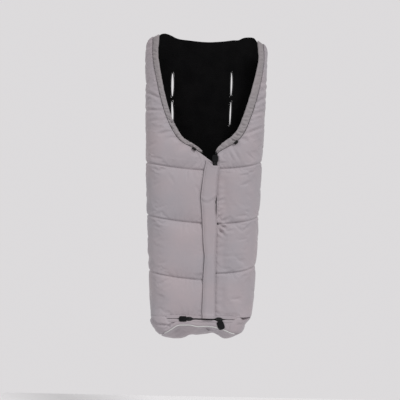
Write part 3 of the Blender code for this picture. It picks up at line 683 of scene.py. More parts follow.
# Hem casings: a sleeve of the grey cloth sewn along each side of the hood opening, gathered
# on the elastic inside it, most at its lower end. The elastic is a round black braid.
casing_width = {
    -1: ((0.572, 0.008), (0.587, 0.011), (0.612, 0.014), (0.645, 0.0155), (0.698, 0.016), (0.762, 0.0165),
         (0.838, 0.0175), (0.924, 0.020), (1.0, 0.022)),
    1: ((0.572, 0.008), (0.587, 0.018), (0.612, 0.0235), (0.645, 0.0245), (0.698, 0.0245), (0.762, 0.0255),
        (0.838, 0.027), (0.924, 0.027), (1.0, 0.024)),
}
casing_names = {-1: "left_hem", 1: "right_hem"}
casing_start_share, casing_gap, casing_thickness, casing_centre_depth = 0.570, 0.0012, 0.0092, 0.0052
casing_sides, casing_step = 28, 0.0022
casing_wide_power, casing_deep_power = 0.75, 0.62
foot_end_round, foot_end_least, rim_end_round, rim_end_least = 0.008, 0.02, 0.006, 0.05
# The gathers: their height, how much more there is near the low end, and their length.
gather_height, gather_more, gather_low_run, gather_side = 0.0017, 0.0030, 0.28, {-1: 1.35, 1: 1.0}
fold_length, fold_crest, fold_sharp, fold_round = 0.0095, 0.9, 3.2, 0.6
small_fold_length, small_fold_share, small_fold_round = 0.0042, 0.5, 1.1
fold_share, fold_by_edge, casing_map_stretch = 0.6, 0.45, 1.6
# Near the rim the casing leans up along the shoulder.
rim_lean, rim_lean_run = {-1: 0.30, 1: 0.46}, 0.03
elastic_radius, elastic_sides, elastic_tail, rings_short_of_rim = 0.00175, 8, 0.005, 5


def even_steps(points, extras, step):
    # Points along a path at an even step, with whatever else is known at each.
    run = np.concatenate(([0.0], np.cumsum(np.linalg.norm(np.diff(points, axis=0), axis=1))))
    at = np.linspace(0.0, run[-1], max(2, round(run[-1] / step)))
    again = []
    for each in [points] + extras:
        columns = [np.interp(at, run, column) for column in each.reshape(len(run), -1).T]
        again.append(np.stack(columns, axis=-1) if each.ndim > 1 else columns[0])
    return at, again


def squarer(value, power):
    return math.copysign(abs(value) ** power, value)


def round_ring(centre, across, up, radius, sides):
    angles = [2 * math.pi * turn / sides for turn in range(sides)]
    return [centre + (across * math.cos(angle) + up * math.sin(angle)) * radius for angle in angles]


def ring_faces(rings, sides):
    # The faces of a tube through rings of points, closed at both ends.
    last, faces = (rings - 1) * sides, []
    for k in range(0, last, sides):
        faces += [(k + a, k + (a + 1) % sides, k + (a + 1) % sides + sides, k + a + sides)
                  for a in range(sides)]
    return faces + [tuple(range(sides)), tuple(range(last, last + sides))]


casing_cloth = woven_cloth("casing_cloth", (0.300, 0.266, 0.274), (0.270, 0.248, 0.260), shell_threads,
                           shell_bump, 0.5)
elastic_braid = woven_cloth("elastic_braid", (0.008, 0.008, 0.009), (0.016, 0.016, 0.017), 1800.0, 0.7, 0.1,
                            roughness=0.8, sheen=0.1, by_map=False)
for side, word in cover_names.items():
    edge, normal, shares = cover_edges[side]
    kept = shares >= casing_start_share
    at, (edge, normal, shares) = even_steps(edge[kept], [normal[kept], shares[kept]], casing_step)
    along = np.gradient(edge, axis=0)
    along /= np.linalg.norm(along, axis=1, keepdims=True)
    across = np.cross(along, normal)
    across /= np.linalg.norm(across, axis=1, keepdims=True)
    across *= -np.sign(across[:, :1] * side)
    normal = np.cross(across, along)
    normal *= -np.sign(normal[:, 1:2])
    widths = np.array([curve_through(casing_width[side], share) for share in shares])
    low_end = 1.0 - smooth_share((shares - casing_width[side][0][0]) / gather_low_run)
    end_round = np.ones(len(at))
    for from_end, run, least in ((at, foot_end_round, foot_end_least),
                                 (at[-1] - at, rim_end_round, rim_end_least)):
        end_round *= np.sqrt(np.maximum(1 - (1 - np.clip(from_end / run, 0, 1)) ** 2, least))
    leans = rim_lean[side] * smooth_share((at - at[-1] + rim_lean_run) / rim_lean_run)
    middle = edge + across * (casing_gap + widths[:, None] / 2) - normal * casing_centre_depth
    vertices, cloth = [], []
    for k, centre in enumerate(middle):
        half, thick = widths[k] / 2, casing_thickness / 2 * end_round[k]
        gather = (gather_height + gather_more * low_end[k]) * gather_side[side]
        for turn in range(casing_sides):
            angle = 2 * math.pi * turn / casing_sides
            wide = squarer(math.cos(angle), casing_wide_power)
            deep = squarer(math.sin(angle), casing_deep_power)
            fold = ripple(at[k] / fold_length + wide / 2, wide * fold_round + 4.0 * side, deep * fold_round)
            small = ripple(at[k] / small_fold_length, wide * small_fold_round, 7.0 * side + deep)
            fold = fold_crest - fold_sharp * abs(fold) + small_fold_share * small
            lift = gather * fold_share * fold * (fold_by_edge + (1 - fold_by_edge) * (1 - abs(wide)))
            out = normal[k] * (deep * (thick + lift)) + along[k] * ((wide + 1) * half * leans[k])
            vertices.append(centre + across[k] * (wide * (half + lift / 2)) + out)
            cloth.append((at[k] * casing_map_stretch, angle * half))
    casing = add_piece(word + "_casing", vertices, ring_faces(len(at), casing_sides), cloth, sharp=60)
    casing.data.materials.append(casing_cloth)
    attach(casing, word)
    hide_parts(casing_names[side] + "_casing")
    middle = np.concatenate((middle[:1] - along[:1] * elastic_tail, middle[:-rings_short_of_rim]))
    vertices = [point for k, place in enumerate(middle)
                for point in round_ring(place, across[k], normal[k], elastic_radius, elastic_sides)]
    elastic = add_piece(word + "_elastic", vertices, ring_faces(len(middle), elastic_sides))
    elastic.data.materials.append(elastic_braid)
    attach(elastic, word)
    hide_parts(casing_names[side] + "_elastic")

# Back panel: grey cloth behind, black fleece in front, and flat wadding between, with its
# top edge dipped in the middle and its foot hanging in two soft lobes. Four slots for the
# harness are cut through it.
back_y, back_front_y = -0.0171, -0.0297
top_outline = ((-0.203, -0.018), (-0.196, 0.001), (-0.184, 0.018), (-0.172, 0.031), (-0.161, 0.0430),
               (-0.152, 0.0495), (-0.138, 0.0515), (-0.118, 0.0450), (-0.106, 0.0385), (-0.090, 0.0335),
               (-0.070, 0.0310), (0.0, 0.0255), (0.052, 0.0285), (0.088, 0.0335), (0.106, 0.0345),
               (0.120, 0.0415), (0.136, 0.0440), (0.156, 0.0425), (0.165, 0.033), (0.175, 0.020),
               (0.186, 0.004), (0.196, -0.014), (0.203, -0.028))
foot_outline = ((-0.166, -0.955), (-0.158, -0.9640), (-0.131, -0.9676), (-0.094, -0.9686), (-0.074, -0.9645),
                (-0.049, -0.9563), (-0.009, -0.9545), (0.029, -0.9494), (0.052, -0.9465), (0.079, -0.9547),
                (0.110, -0.9648), (0.150, -0.9600), (0.166, -0.952))
# Quilting seams behind the covers' own, with two more beside the hood opening. The rows are
# counted between the lowest and highest levels.
seam_climb, upper_seams, lowest_level, highest_level = 0.6, [-0.285, -0.165], -0.96, 0.03
quilt_heights = [cover_foot_z + cover_height * mark + channel_rise * seam_climb for mark in channel_shares[1]]
quilt_heights += upper_seams
line_beside_panel, line_before_side = 0.006, 0.008
back_columns, back_spacing = 91, 0.0045
panel_half_width, panel_height, panel_top_z, panel_edge, panel_fade = 0.115, 0.420, -0.360, 0.004, 0.030
back_swell, quilt_width, quilt_power, rim_fade, back_fade = 0.0062, 0.016, 0.75, 0.030, 0.03
uneven_share, uneven_size = 0.25, 0.05
lining_drawn_in, lining_drawn_from, lining_lifted, lining_lift_run = 0.0105, 0.80, 0.006, 0.020
hollow_depth, hollow_size, nap_depth, nap_size = 0.0012, 0.045, 0.0005, 0.009
layer_gap = 0.0003
# Each slot's middle x and z, half width where it gapes, lean and bow.
slot_height, binding_half, binding_gap, knife_rear, knife_front = 0.080, 0.0017, 0.0002, -0.06, 0.02
slot_shapes = {
    "upper_left": (-0.1130, -0.1195, 0.0038, -0.0004, 0.0004),
    "upper_right": (0.0848, -0.1135, 0.0026, 0.0004, 0.0008),
    "lower_left": (-0.1120, -0.2135, 0.0032, -0.0018, 0.0008),
    "lower_right": (0.0838, -0.2120, 0.0022, 0.0012, -0.0002),
}


def rounded_in(x, z):
    # The foot's lower corners are drawn in, the right one more.
    return x * min(1.0, curve_through(kept_width[side_of(x)], z))


def back_grid(columns, spacing):
    # Rows up the back, with each quilting seam on a row of its own.
    marks = [lowest_level] + quilt_heights + [highest_level]
    columns_made = []
    for c in range(columns):
        share = 2 * c / (columns - 1) - 1
        low = curve_through(foot_outline, share * half_width_foot)
        ends = [low] + quilt_heights + [curve_through(top_outline, share * half_width_top)]
        heights = [low]
        for k in range(len(marks) - 1):
            count = round((marks[k + 1] - marks[k]) / spacing)
            heights += [ends[k] + (ends[k + 1] - ends[k]) * step / count for step in range(1, count + 1)]
        columns_made.append([(rounded_in(share * half_width(z), z), 0.0, z) for z in heights])
    return np.array(columns_made).transpose(1, 0, 2).copy()


def slot_outline(shape, grow, steps=18):
    # A cut that gapes in the middle and closes to a point at each end.
    x, z, half, lean, bow = shape
    loop = []
    for way in (1, -1):
        for step in range(steps):
            share = way * (1 - 2 * step / steps)
            wide = half * max(0.0, 1 - share ** 2) ** 0.7 + grow
            height = share * (slot_height / 2 + grow * abs(share))
            middle = x + lean * share + bow * math.cos(share * math.pi / 2)
            loop.append((middle + way * wide, z + height))
    return loop


def cut_slots(piece, grow):
    for shape in slot_shapes.values():
        loop = slot_outline(shape, grow)
        count = len(loop)
        vertices = [(x, y, z) for y in (knife_rear, knife_front) for x, z in loop]
        faces = [tuple(range(count)), tuple(range(2 * count - 1, count - 1, -1))]
        faces += [((k + 1) % count, k, k + count, (k + 1) % count + count) for k in range(count)]
        knife = add_piece("slot_knife", vertices, faces)
        cut = piece.modifiers.new("slot", "BOOLEAN")
        cut.operation, cut.solver, cut.object = "DIFFERENCE", "EXACT", knife
        bpy.context.view_layer.update()
        mesh = bpy.data.meshes.new_from_object(piece.evaluated_get(bpy.context.evaluated_depsgraph_get()))
        piece.modifiers.clear()
        piece.data = mesh
        mesh.name = piece.name
        bpy.data.objects.remove(knife, do_unlink=True)


grid = back_grid(back_columns, back_spacing)
x, z = grid[..., 0], grid[..., 2]
wide = np.array([[half_width(h) for h in row] for row in z])
above_foot = z - z.min(axis=0)
off_panel = smooth_share((np.maximum(np.abs(x) - panel_half_width, np.abs(z - panel_top_z + panel_height / 2)
                                     - panel_height / 2) - panel_edge) / panel_fade)
channels = np.ones(x.shape)
for height in quilt_heights:
    channels *= 1 - np.exp(-(np.abs(z - height) / quilt_width) ** quilt_power)
fade = (smooth_share((wide - np.abs(x)) / rim_fade) * smooth_share(above_foot / back_fade)
        * smooth_share((z.max(axis=0) - z) / back_fade))
swelled = back_swell * channels * off_panel * fade * (1 + uneven_share * soft_noise(grid, uneven_size, 2.0))
rear, fore, lining_rear, lining_fore = (grid.copy() for _ in range(4))
for lining in (lining_rear, lining_fore):
    lining[..., 0] -= np.sign(x) * lining_drawn_in * smooth_share(
        (np.abs(x) / wide - lining_drawn_from) / (1 - lining_drawn_from))
    lining[..., 2] += lining_lifted * (1 - smooth_share(above_foot / lining_lift_run))
rear[..., 1] = back_y + swelled
fore[..., 1] = back_y - wall_inside
lining_rear[..., 1] = back_y - lining_start + layer_gap
hollow = hollow_depth * soft_noise(grid, hollow_size, 8.0) + nap_depth * soft_noise(grid, nap_size, 4.0)
lining_fore[..., 1] = back_front_y + layer_gap - hollow * smooth_share((wide - np.abs(x)) / rim_fade)
# The fleece reaches the top edge in front of the padding, so the rim of the back shows black.
back_padding = two_sided("back_padding", rear, fore, x, z)
back_fleece = two_sided("back_fleece", lining_rear, lining_fore, x, z)
back_cloth = woven_cloth("back_cloth", grey_cloth, grey_cool, shell_threads, shell_bump, shell_wrinkle,
                         by_map=False)
for piece, node_names, slot_name, finish, fill in (
        (back_padding, ("back_shell", "back_wadding"), "shell_cloth", back_cloth, 0.3),
        (back_fleece, ("back_lining",), "fleece", fleece, 0.15)):
    cut_slots(piece, 2 * binding_half + binding_gap)
    piece.data.materials.clear()
    piece.data.materials.append(finish)
    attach(piece, "back")
    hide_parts(*node_names)
quilt_lines = []
for height in quilt_heights:
    row = rear[np.abs(z[:, back_columns // 2] - height).argmin()]
    beside_panel = panel_top_z - panel_height < height < panel_top_z
    start = panel_half_width + line_beside_panel if beside_panel else 0.0
    end = half_width(height) - line_before_side
    quilt_lines += [[point for point in row if start <= way * point[0] <= end] for way in (-1, 1)]
sew("back_stitches", quilt_lines, "back", grey_thread)

# Harness slot bindings: black tape folded round the raw edge of each cut and sewn through.
black_tape = woven_cloth("binding_tape", (0.012, 0.012, 0.013), (0.022, 0.022, 0.023), 1500.0, 0.6, 0.1,
                         roughness=0.85, sheen=0.1, by_map=False)
black_thread = thread_material("black_thread", (0.010, 0.010, 0.011), (0.020, 0.020, 0.021))
binding_proud, binding_steps = 0.0012, 26
binding_deep, binding_y = (back_y - back_front_y) / 2 + binding_proud, (back_y + back_front_y) / 2
# The tape's section, as shares of its half width across and half depth through the back.
tape_section = ((0.6, 1.0), (1.0, 0.86), (1.0, -0.86), (0.6, -1.0), (-0.6, -1.0), (-1.0, -0.86), (-1.0, 0.86),
                (-0.6, 1.0))
tape_corners = len(tape_section)
binding_lines = []
for name, shape in slot_shapes.items():
    loop = slot_outline(shape, binding_half, binding_steps)
    vertices, faces = [], []
    for k, (x, z) in enumerate(loop):
        (x0, z0), (x1, z1) = loop[k - 1], loop[(k + 1) % len(loop)]
        out = Vector((z1 - z0, 0.0, x0 - x1)).normalized()
        vertices += [Vector((x, binding_y + deep * binding_deep, z)) + out * across * binding_half
                     for across, deep in tape_section]
        near, far = k * tape_corners, (k + 1) % len(loop) * tape_corners
        faces += [(near + a, near + (a + 1) % tape_corners, far + (a + 1) % tape_corners, far + a)
                  for a in range(tape_corners)]
    binding = add_piece("binding_" + name, vertices, faces)
    binding.data.materials.append(black_tape)
    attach(binding, "back")
    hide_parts("slot_binding_" + name)
    binding_lines += [[(x, binding_y + way * binding_deep, z) for x, z in loop + loop[:1]] for way in (-1, 1)]
sew("slot_stitches", binding_lines, "back", black_thread, step=0.0030, length=0.0023,
    radius=0.00030)

# Wind flap: a doubled strip of the grey cloth, sewn to the right cover beside the zip and
# free on its left edge, where it waves and has one crease across.
flap_right = ((-0.893, 0.0455), (-0.873, 0.0451), (-0.821, 0.0435), (-0.751, 0.0430), (-0.682, 0.0420),
              (-0.647, 0.0428), (-0.606, 0.0450), (-0.578, 0.0432), (-0.5605, 0.0415), (-0.543, 0.0392),
              (-0.529, 0.0385), (-0.519, 0.0388), (-0.510, 0.0372), (-0.5014, 0.0388), (-0.491, 0.0410),
              (-0.4736, 0.0420), (-0.439, 0.0438), (-0.412, 0.0475), (-0.396, 0.0505), (-0.380, 0.0520))
flap_top_z, flap_foot_z, flap_corner_rise, flap_corner_share = -0.3930, -0.8868, 0.0215, 0.55
flap_thickness, flap_clear, flap_loft, flap_loft_run = 0.0022, 0.0008, 0.0078, 0.0075
flap_droop, flap_droop_run = 0.38, 0.012
flap_rows, flap_columns = 150, 19
wave_height, wave_length, bow_height, pucker_height, pucker_length = 0.0016, 0.045, 0.0012, 0.0008, 0.011
# The crease across: a dip and the ridge above it, each with its height, depth and width.
# The dip is shallower at the free edge.
flap_dip, flap_ridge, flap_crease_lean = (-0.505, -0.0020, 0.0045), (-0.494, 0.0012, 0.0050), 0.010
flap_dip_least = 0.4
over_welts, welts_top_z, over_welts_run = 0.0026, -0.872, 0.005
# The stretch from the flap's seam on the right to left of the zip, with the right cover and the flap.
flap_bend = ("right_cover", "wind_flap", (zip_x + 0.013, front_y, flap_foot_z),
             (zip_x - 0.017, front_y, flap_foot_z))
upper, lower = np.empty((2, flap_rows, flap_columns, 3))
for r in range(flap_rows):
    for c in range(flap_columns):
        share = c / (flap_columns - 1)
        top = flap_top_z + flap_corner_rise * max(0.0, 1 - share / flap_corner_share) ** 1.2
        z = flap_foot_z + (top - flap_foot_z) * r / (flap_rows - 1)
        left, right = curve_through(flap_left, z), curve_through(flap_right, z)
        x = left + (right - left) * share
        loft = smooth_share((right - x) / flap_loft_run)
        loft *= 1 - flap_droop * smooth_share((left + flap_droop_run - x) / flap_droop_run)
        out = wave_height * ripple(share * 0.8, z / wave_length, 2.0) * (1 - share) ** 0.5
        out += pucker_height * ripple(5.0, z / pucker_length, share * 2) * share ** 3
        out += bow_height * math.sin(math.pi * share)
        deepened = flap_dip_least + (1 - flap_dip_least) * share
        for (at_z, height, width), strength in ((flap_dip, deepened), (flap_ridge, 1.0)):
            away = z - at_z + flap_crease_lean * math.sin(share * 4)
            out += height * math.exp(-(away / width) ** 2) * strength
        out += over_welts * float(smooth_share((welts_top_z - z) / over_welts_run))
        y = front_y - flap_clear - flap_loft * loft - out
        lower[r, c], upper[r, c] = (x, y, z), (x, y - flap_thickness, z)
flap = two_sided("wind_flap_strip", upper, lower, upper[..., 0], upper[..., 2])
flap.data.materials.append(shell_cloth)
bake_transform(flap)
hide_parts("zip_flap")
sew("wind_flap_stitches", [upper[2:-2, 2], upper[-3, 2:-1], upper[2:-2, -2]], "wind_flap", grey_thread,
    bend=flap_bend)

# Foot section: a low padded band under the foot zip, round the toes, and a padded sole that
# falls to the back and sags in two lobes. Each is a grey pad with a black fleece behind it.
band_top_z, foot_chain_half = -0.898, 0.111
toe_outline = ((-0.166, -0.9450), (-0.129, -0.9358), (-0.100, -0.9225), (-0.0786, -0.9119), (-0.058, -0.9103),
               (-0.036, -0.9103), (-0.015, -0.9142), (0.024, -0.9129), (0.055, -0.9158), (0.0734, -0.9193),
               (0.105, -0.9290), (0.133, -0.9358), (0.166, -0.9340))
band_columns, band_rows = 181, 15
# Beyond the zip's ends the band rises to the covers, and gapes once near the right corner.
band_rise, band_rise_from, band_rise_run = 0.0146, 0.108, 0.012
corner_gap, corner_gap_x, corner_gap_half, corner_gap_reach = 0.0088, 0.149, 0.014, 0.050
band_fat, fat_by_chain = 0.0050, 0.55
side_fat, side_fat_from, side_fat_run, side_fat_to, side_fat_end = 0.0045, 0.100, 0.04, 0.21, 0.035
side_fat_fall = 2.2
band_noise, band_noise_size, foot_crease_width = 0.0010, 0.018, 0.0032
band_creases = ((-0.162, -0.893, -0.1435, -0.910, 0.0050), (-0.1435, -0.910, -0.105, -0.913, 0.0050),
                (-0.150, -0.928, -0.130, -0.930, 0.0030), (-0.0846, -0.897, -0.0964, -0.9075, 0.0045),
                (-0.0964, -0.9075, -0.115, -0.9246, 0.0050), (0.112, -0.906, 0.138, -0.901, 0.0022))
sole_columns, sole_rows, sole_level = 241, 65, -0.91
sole_inset, sole_back_reach, sole_sag, sole_lower = 0.0034, 0.0012, 0.0021, 0.0012
sole_wider, sole_wider_from, sole_wider_run = 0.0030, 0.045, 0.030
sole_noise, sole_noise_size, sole_ramps = 0.0016, 0.020, 8
sole_creases, sole_crease_width = ((0.017, -0.9265, 0.030, -0.9315, 0.0105),), 0.0012
# How far behind the front each inner layer of the sole begins, clear of the band's layers.
pad_inner_clear, fleece_clear, fleece_inner_clear = 0.0034, 0.0135, 0.0137


def foot_edge_z(x, y):
    share = smooth_share((y - front_y) / (seam_y - front_y))
    return curve_through(toe_outline, x) * (1 - share) + curve_through(foot_outline, x) * share


def inside_band(layer, clear):
    # Keeps an inner layer of the sole behind the band's own layers.
    kept = layer.copy()
    kept[..., 1] = np.maximum(layer[..., 1], front_y + clear)
    return kept


band, band_u = np.empty((band_rows, band_columns, 3)), np.empty((band_rows, band_columns))
around = sleeve_length(band_top_z, 0.0)
for c in range(band_columns):
    share = 2 * c / (band_columns - 1) - 1
    side = side_of(share)
    x, y, z = sleeve_place(side, band_top_z, around * (1 - abs(share)))
    on_front = y < front_y + corner_radius
    risen = smooth_share((abs(x) - band_rise_from) / band_rise_run) if on_front else 1.0
    top = band_top_z + band_rise * risen
    if side > 0 and y < front_y + corner_gap_reach:
        top -= corner_gap * math.exp(-((x - corner_gap_x) / corner_gap_half) ** 4)
    low = foot_edge_z(x, y)
    for r in range(band_rows):
        z = low + (top - low) * r / (band_rows - 1)
        band[r, c] = (rounded_in(x, z), y, z)
        band_u[r, c] = share * around
normal = facing_out(band, -1)
rise = np.linspace(0, 1, band_rows)[:, None]
round_foot = np.abs(band_u)
fat = band_fat * (4 * rise * (1 - rise)) ** 0.6 * np.where(round_foot < foot_chain_half, fat_by_chain, 1.0)
side_lift = (side_fat * smooth_share((round_foot - side_fat_from) / side_fat_run)
             * (1 - smooth_share((round_foot - side_fat_to) / side_fat_end)))
fat = (fat + side_lift * np.exp(-(1 - rise) * side_fat_fall) + crease(band, band_creases, foot_crease_width)
       + band_noise * soft_noise(band, band_noise_size, 6.0) * np.sin(np.pi * rise))
band_outer = band + normal * fat[..., None]
band_outer[..., 1] += seam_turn * (1 - smooth_share((seam_y - band[..., 1]) / seam_turn_run))

sole = np.empty((sole_rows, sole_columns, 3))
edge_y, back_edge_y, full = front_y + sole_inset, seam_y + sole_back_reach, half_width(sole_level)
for r in range(sole_rows):
    y = edge_y + (back_edge_y - edge_y) * r / (sole_rows - 1)
    into = seam_y - (depth - corner_radius) - y
    reach = full - sole_inset
    if into > 0:
        reach = full - corner_radius + math.sqrt(max(0.0, (corner_radius - sole_inset) ** 2 - into ** 2))
    reach += sole_wider * float(smooth_share((y - seam_y + sole_wider_from) / sole_wider_run))
    for c in range(sole_columns):
        share = 2 * c / (sole_columns - 1) - 1
        x = reach * share
        sag = sole_sag * math.sin(math.pi * r / (sole_rows - 1)) * math.sqrt(max(0.0, 1 - share * share))
        z = foot_edge_z(x, y) - sole_lower - sag
        sole[r, c] = (rounded_in(x, z), y, z)
sole_normal = facing_out(sole, 1)
ramp = smooth_share(np.linspace(0, sole_ramps, sole_rows))[:, None]
sole_fat = sole_noise * soft_noise(sole, sole_noise_size, 1.0) * ramp * ramp[::-1]
sole_fat = sole_fat + crease(sole, sole_creases, sole_crease_width)
if sole_normal[..., 2].mean() > 0:
    sole_normal = -sole_normal
for name, outside, inside, u, v, node_names, finish, slot_name, fill in (
        ("foot_band_padding", band_outer, band - normal * wall_inside, band_u, band[..., 2],
         ("foot_band_shell", "foot_band_wadding"), shell_cloth, "shell_cloth", 0.4),
        ("foot_band_fleece", band - normal * lining_start, band - normal * lining_end, band_u, band[..., 2],
         ("foot_band_lining",), fleece, "fleece", 0.1),
        ("sole_padding", sole + sole_normal * sole_fat[..., None],
         inside_band(sole - sole_normal * wall_inside, pad_inner_clear), sole[..., 0], sole[..., 1],
         ("sole_shell", "sole_wadding"), shell_cloth, "shell_cloth", 0.3),
        ("sole_fleece", inside_band(sole - sole_normal * lining_start, fleece_clear),
         inside_band(sole - sole_normal * lining_end, fleece_inner_clear), sole[..., 0], sole[..., 1],
         ("sole_lining",), fleece, "fleece", 0.1)):
    made = two_sided(name, outside, inside, u, v)
    made.data.materials.append(finish)
    if name.startswith("sole"):
        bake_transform(made)
    else:
        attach(made, "foot_section")
    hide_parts(*node_names)

# Welts over the foot zip: narrow doubled strips of the grey cloth that close over the teeth
# from above and below, and stand open a little at the two sliders.
foot_zip_z, slider_places = -0.8905, (-0.040, 0.056)
welt_span, welt_rows, welt_spacing = 0.119, 8, 0.0020
welt_width, welt_thickness, welt_clear, welt_crown = 0.0100, 0.0009, 0.0014, 0.0006
welt_wave, welt_wave_length, welt_ripple, welt_ripple_length = 0.0005, 0.012, 0.0004, 0.02
welt_gap, end_gap, slider_gap, slider_gap_half = 0.0022, 0.0004, 0.0042, 0.0105
closed_at_end, welt_end_run, open_from, open_run = 0.25, 0.014, 0.084, 0.018
welt_hem, welt_hem_taper, welt_hem_run, zip_clear = 0.0112, 0.0060, 0.012, 0.0065
sewn_row, sewn_short = 5, 4
for name, body, x_low, x_high, way, behind in (
        ("foot_welt_left", "left_cover", -welt_span, zip_x - zip_clear, 1, "left_cover_padding"),
        ("foot_welt_right", "right_cover", zip_x + zip_clear, welt_span, 1, "right_cover_padding"),
        ("foot_welt_lower", "foot_section", -welt_span, welt_span, -1, "foot_band_padding")):
    columns = round((x_high - x_low) / welt_spacing)
    outside, inside = np.empty((2, welt_rows, columns, 3))
    for c in range(columns):
        x = x_low + (x_high - x_low) * c / (columns - 1)
        from_end = welt_span - abs(x)
        open_by = sum(math.exp(-((x - at) / slider_gap_half) ** 4) for at in slider_places) * slider_gap
        wave = welt_wave * ripple(x / welt_wave_length, way * 3.0, 0.0)
        closed = float(closed_at_end * smooth_share(from_end / welt_end_run)
                       + (1 - closed_at_end) * smooth_share((open_from - abs(x)) / open_run))
        mouth = foot_zip_z + way * (end_gap + (welt_gap - end_gap + open_by + wave) * closed)
        taper = welt_hem_taper * (1 - float(smooth_share(from_end / welt_hem_run)))
        hem = foot_zip_z + way * (welt_hem - taper)
        for r in range(welt_rows):
            share = r / (welt_rows - 1)
            y = (front_y - welt_clear - welt_crown * math.sin(math.pi * share)
                 - welt_ripple * ripple(x / welt_ripple_length, share, 5.0))
            z = mouth + (hem - mouth) * share
            outside[r, c], inside[r, c] = (x, y - welt_thickness, z), (x, y, z)
    welt = two_sided(name, outside, inside, outside[..., 0], outside[..., 2])
    welt.data.materials.append(shell_cloth)
    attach(welt, body)
    sew(name + "_stitches", [outside[sewn_row, sewn_short:-sewn_short]], body, grey_thread)

# Foot piping: a thin cord in reflective white tape, sewn in where the band meets the sole.
piping_radius, piping_end_radius, piping_sides, piping_steps, piping_share = 0.0015, 0.35, 12, 90, 0.56
piping_forward, piping_below, piping_map_step = 0.0012, 0.0006, 0.002
path = []
for step in range(-piping_steps, piping_steps + 1):
    x, y, z = sleeve_place(side_of(step), band_top_z, around * (1 - piping_share * abs(step) / piping_steps))
    low = foot_edge_z(x, y)
    path.append(Vector((rounded_in(x, low), y - piping_forward, low - piping_below)))
vertices, cloth = [], []
for k, place in enumerate(path):
    along = (path[min(k + 1, len(path) - 1)] - path[max(k - 1, 0)]).normalized()
    across = along.cross(Vector((0.0, 0.0, 1.0))).normalized()
    radius = piping_radius * (piping_end_radius if k in (0, len(path) - 1) else 1.0)
    vertices += round_ring(place, across, across.cross(along), radius, piping_sides)
    cloth += [(k * piping_map_step, 2 * math.pi * turn / piping_sides * piping_radius)
              for turn in range(piping_sides)]
piping = add_piece("foot_piping_cord", vertices, ring_faces(len(path), piping_sides), cloth)
piping_tape = woven_cloth("piping_tape", (0.62, 0.62, 0.61), (0.52, 0.52, 0.51), 3000.0, 0.3, 0.1,
                          roughness=0.45, sheen=0.1)
piping.data.materials.append(piping_tape)
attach(piping, "foot_section")
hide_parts("foot_piping")


# Zips: black woven tape and moulded teeth, on the main zip and round the foot. The tapes and
# teeth keep their solids, as the hard pieces below do.
def moulded_black(name, roughness, clean, handled, **surface):
    made, tree, place, shader = start_material(name, clean, handled, 60.0, roughness=roughness, **surface)
    grain = add_node(tree, "ShaderNodeTexNoise", {"Vector": place["Object"], "Scale": 1400.0, "Detail": 3.0})
    tree.links.new(raised(tree, grain["Fac"], 0.25, 0.0003), shader["Normal"])
    return made


def finish_nodes(finish, *names):
    for name in names:
        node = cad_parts[name]
        for slot in node.material_slots:
            slot.material = finish
        if not node.material_slots:
            node.data.materials.append(finish)


teeth_plastic = moulded_black("teeth_plastic", 0.42, (0.010, 0.010, 0.011), (0.018, 0.018, 0.019))
finish_nodes(black_tape, "main_zip_tape_left", "main_zip_tape_right", "foot_zip_tape_left",
             "foot_zip_tape_right", "foot_zip_tape_lower")
finish_nodes(teeth_plastic, "main_zip_teeth_left", "main_zip_teeth_right", "foot_zip_teeth_upper_left",
             "foot_zip_teeth_upper_right", "foot_zip_teeth_lower_left", "foot_zip_teeth_lower_right")

# Cord stops: small barrels of black plastic that clamp the elastics' ends, one on each side
# of the hood opening.
stop_plastic = moulded_black("stop_plastic", 0.55, (0.004, 0.0035, 0.0035), (0.009, 0.008, 0.008),
                             specular=0.15)
finish_nodes(stop_plastic, "left_cord_stop", "right_cord_stop")

# Sliders, links and the main zip's bottom stop: die-cast and painted black, a little dulled
# where hands rub them.
slider_paint = start_material("slider_paint", (0.006, 0.006, 0.007), (0.016, 0.016, 0.017), 120.0,
                              roughness=0.45, specular=0.3)[0]
finish_nodes(slider_paint, "main_zip_slider", "main_zip_stop", "main_zip_pull_link", "foot_zip_slider_left",
             "foot_zip_slider_right", "foot_zip_pull_left_link", "foot_zip_pull_right_link")

# Pull grips: soft black rubber moulded over the links, rounded, with three ribs along them.
# Each has its body, where its link hangs, its turn in degrees, and its half width, start and length.
grip_rubber = moulded_black("grip_rubber", 0.62, (0.0025, 0.0025, 0.003), (0.006, 0.006, 0.007),
                            specular=0.15)
grip_half_thickness, grip_pinch_power, grip_tip = 0.0022, 6, 0.06
grip_wide_power, grip_deep_power, rib_height, rib_count = 0.7, 0.8, 0.16, 3
grip_rings, grip_sides = 37, 40
pivot_y, main_pivot_z = -0.1395, -0.3895
left_x, right_x = slider_places
pulls = (("main_zip_pull_grip", "main_pull", zip_x, main_pivot_z, 0, 0.0098, 0.0072, 0.0243),
         ("foot_zip_pull_left_grip", "foot_pull_left", left_x, foot_zip_z, -90, 0.0090, 0.0068, 0.0265),
         ("foot_zip_pull_right_grip", "foot_pull_right", right_x, foot_zip_z, 160, 0.0112, 0.0048, 0.0292))
for name, body, pivot_x, pivot_z, turned, half, start, length in pulls:
    hung = Matrix.Translation((pivot_x, pivot_y, pivot_z)) @ Matrix.Rotation(math.radians(turned), 4, "Y")
    vertices = []
    for k in range(grip_rings):
        share = -math.cos(math.pi * k / (grip_rings - 1))
        full = 1 - abs(share) ** grip_pinch_power
        pinch = max(grip_tip, full) ** 0.5
        for turn in range(grip_sides):
            angle = 2 * math.pi * turn / grip_sides
            wide = squarer(math.cos(angle), grip_wide_power)
            deep = squarer(math.sin(angle), grip_deep_power)
            rib = 1 + rib_height * math.cos(wide * rib_count * math.pi) * max(0.0, full)
            across, out = wide * half * pinch, deep * grip_half_thickness * rib * pinch ** 0.5
            vertices.append(hung @ Vector((across, out, start + length * (0.5 + 0.5 * share))))
    grip = add_piece(name + "_rubber", vertices, ring_faces(grip_rings, grip_sides))
    grip.data.materials.append(grip_rubber)
    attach(grip, body)
    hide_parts(name)

